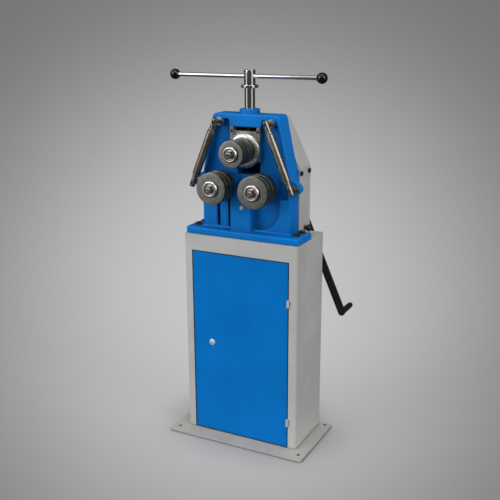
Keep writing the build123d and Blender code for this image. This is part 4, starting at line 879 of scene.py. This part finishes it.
floor_reach = 60.0
floor_rings = np.concatenate([[0.0], np.geomspace(0.5, floor_reach, 24)])[:, None]
floor_angles = np.linspace(0, 2 * np.pi, 97)
floor_x = floor_rings * np.cos(floor_angles)
floor_y = floor_rings * np.sin(floor_angles)
floor_points = np.stack([floor_x, floor_y, np.zeros_like(floor_x)], axis=-1)
floor_mesh = bpy.data.meshes.new("studio_floor")
floor_mesh.from_pydata(floor_points.reshape(-1, 3), [], quads_of(*floor_x.shape))
floor = bpy.data.objects.new("studio_floor", floor_mesh)
scene.collection.objects.link(floor)

# The pool of light on the paper and the surround is painted: no lamp stands at this place.
painted_beam_from = np.array([1.3, -2.6, 1.5])
painted_beam_aim = np.array([-0.689, 1.224, 0.0])
painted_beam_axis = (painted_beam_aim - painted_beam_from) / np.linalg.norm(painted_beam_aim - painted_beam_from)
painted_beam_spread = 0.298


def painted_light_pool(ray):
    """Grey of the paper in the painted pool of light: 0.17 + 0.392 exp(-q^1.27). q is the squared tangent of
    the angle between the ray from the painted beam's place and its axis, over the squared spread."""
    along = ray.vector("DOT_PRODUCT", ray, painted_beam_axis)
    length = ray.vector("LENGTH", ray)
    ahead = along.math("MAXIMUM", along, 0.02)
    q = (length * length - along * along) / (ahead * ahead * painted_beam_spread**2)
    return 0.17 + 0.392 * q.math("EXPONENT", -1 * q.math("POWER", q, 1.27))


def mirrored_room(place):
    """What the bright metal mirrors round the horizon: a dim room with two pale panels, one left of
    the front and one on the right. The bearing of a point is atan2(x, -y), 0 at the front."""
    bearing = place.math("ARCTAN2", place.part("X"), place.part("Y") * -1.0)
    panels = []
    for turn in (bearing + math.radians(46), bearing - math.radians(76)):
        panels.append(1 - turn.math("ABSOLUTE", turn).step(math.radians(7), math.radians(17)))
    return (panels[0] + panels[1]).clip().tint(dim_wall, pale_panel)


# Paper: the grey of the painted pool of light over the light that falls there, with a painted shadow
# close to the foot. A part of it glows by itself on camera rays, which softens the shadows, and bright metal
# mirrors a dim room with a pale board in its place.
lit_centre, lit_reach = (1.85, -6.0, 0), 8.82
board_centre = (-1.45, -2.95, 0)
floor_paper, floor_place = begin_finish("studio_paper")
mirrored_floor = floor_place.ray("Is Glossy Ray")
own_glow = 0.6 * floor_place.ray("Is Camera Ray")
from_centre = floor_place.vector("DISTANCE", floor_place, lit_centre)
lit = 0.70 + 0.434 * from_centre.math("EXPONENT", from_centre * from_centre * (-1 / lit_reach**2))
in_painted_beam = floor_place.vector("SUBTRACT", floor_place, painted_beam_from, output="Vector")
# Painted shadows: darker where the machine is within 2 cm and within 20 cm of the paper.
painted_contact_shadow = 0.35 + 0.65 * floor_place.clear(0.02, 8).step(0.45, 0.9)
painted_foot_shadow = 0.2 + 0.8 * floor_place.clear(0.2, 8)
grey = painted_light_pool(in_painted_beam) * painted_contact_shadow * painted_foot_shadow
paper = mirrored_floor.tint(((1 - own_glow) * grey / lit).tint(black, white), black)
from_board = floor_place.vector("DISTANCE", floor_place, board_centre)
board = (1 - from_board.step(0.5, 0.8)).tint(dim_wall, pale_board)
room = floor_place.vector("LENGTH", floor_place).step(3.5, 4.0).tint(board, mirrored_room(floor_place))
gleam = mirrored_floor.tint((own_glow * grey).tint(black, white), room)
close_finish(floor_paper, {
    "Base Color": paper, "Roughness": 1.0, "Specular IOR Level": 0.0, "Emission Color": gleam,
    "Emission Strength": 1.0,
})
floor_mesh.materials.append(floor_paper)

surround = bpy.data.worlds.new("studio_surround")
surround.use_nodes = True
scene.world = surround
air = Value(surround.node_tree.nodes.new("ShaderNodeTexCoord").outputs["Generated"])
height = air.part("Z")
behind = air.part("Y")
ambient = (0.47 - 0.16 * height.step(-0.1, 0.9) - 0.23 * behind).tint(black, (2, 2, 2, 1))
overhead = height.step(0.25, 0.60) * (1 - behind.step(-0.1, 0.3))
reflected = overhead.tint(mirrored_room(air), pale_panel)
unseen = air.ray("Is Glossy Ray").tint(ambient, reflected)
# The surround seen by the camera carries the same painted pool of light.
glow = air.ray("Is Camera Ray").tint(unseen, painted_light_pool(air).tint(black, white))
surround.node_tree.links.new(glow.socket, surround.node_tree.nodes["Background"].inputs["Color"])


def soft_lamp(name, place, aim, size, power):
    """Square lamp that points from its place to its aim."""
    light = bpy.data.lights.new(name, "AREA")
    light.size = size
    light.energy = power
    lamp = bpy.data.objects.new(name, light)
    back = np.asarray(place, float) - np.asarray(aim, float)
    back /= np.linalg.norm(back)
    side = np.cross((0, 0, 1), back)
    side /= np.linalg.norm(side)
    lamp.matrix_world = placed(side, np.cross(back, side), back, place)
    scene.collection.objects.link(lamp)
    return lamp


soft_lamp("key_lamp", (-4.2, -5.4, 3.6), (0, 0, 0.7), size=4.0, power=165.0)
soft_lamp("side_lamp", (5.8, -1.8, 3.6), (0, 0, 0.7), size=3.2, power=116.0)
soft_lamp("top_lamp", (0.6, -1.2, 6.0), (0, -0.05, 1.0), size=1.2, power=30.0)
back_lamp = soft_lamp("back_lamp", (-1.9, 4.6, 0.9), (0, 0.1, 0.75), size=1.6, power=95.0)
back_lamp.visible_camera = False
back_lamp.visible_glossy = False
machine = bpy.data.collections.new("machine")
for shown in scene.objects:
    if shown.type == "MESH" and shown != floor:
        machine.objects.link(shown)
back_lamp.light_linking.receiver_collection = machine

bpy.context.view_layer.update()
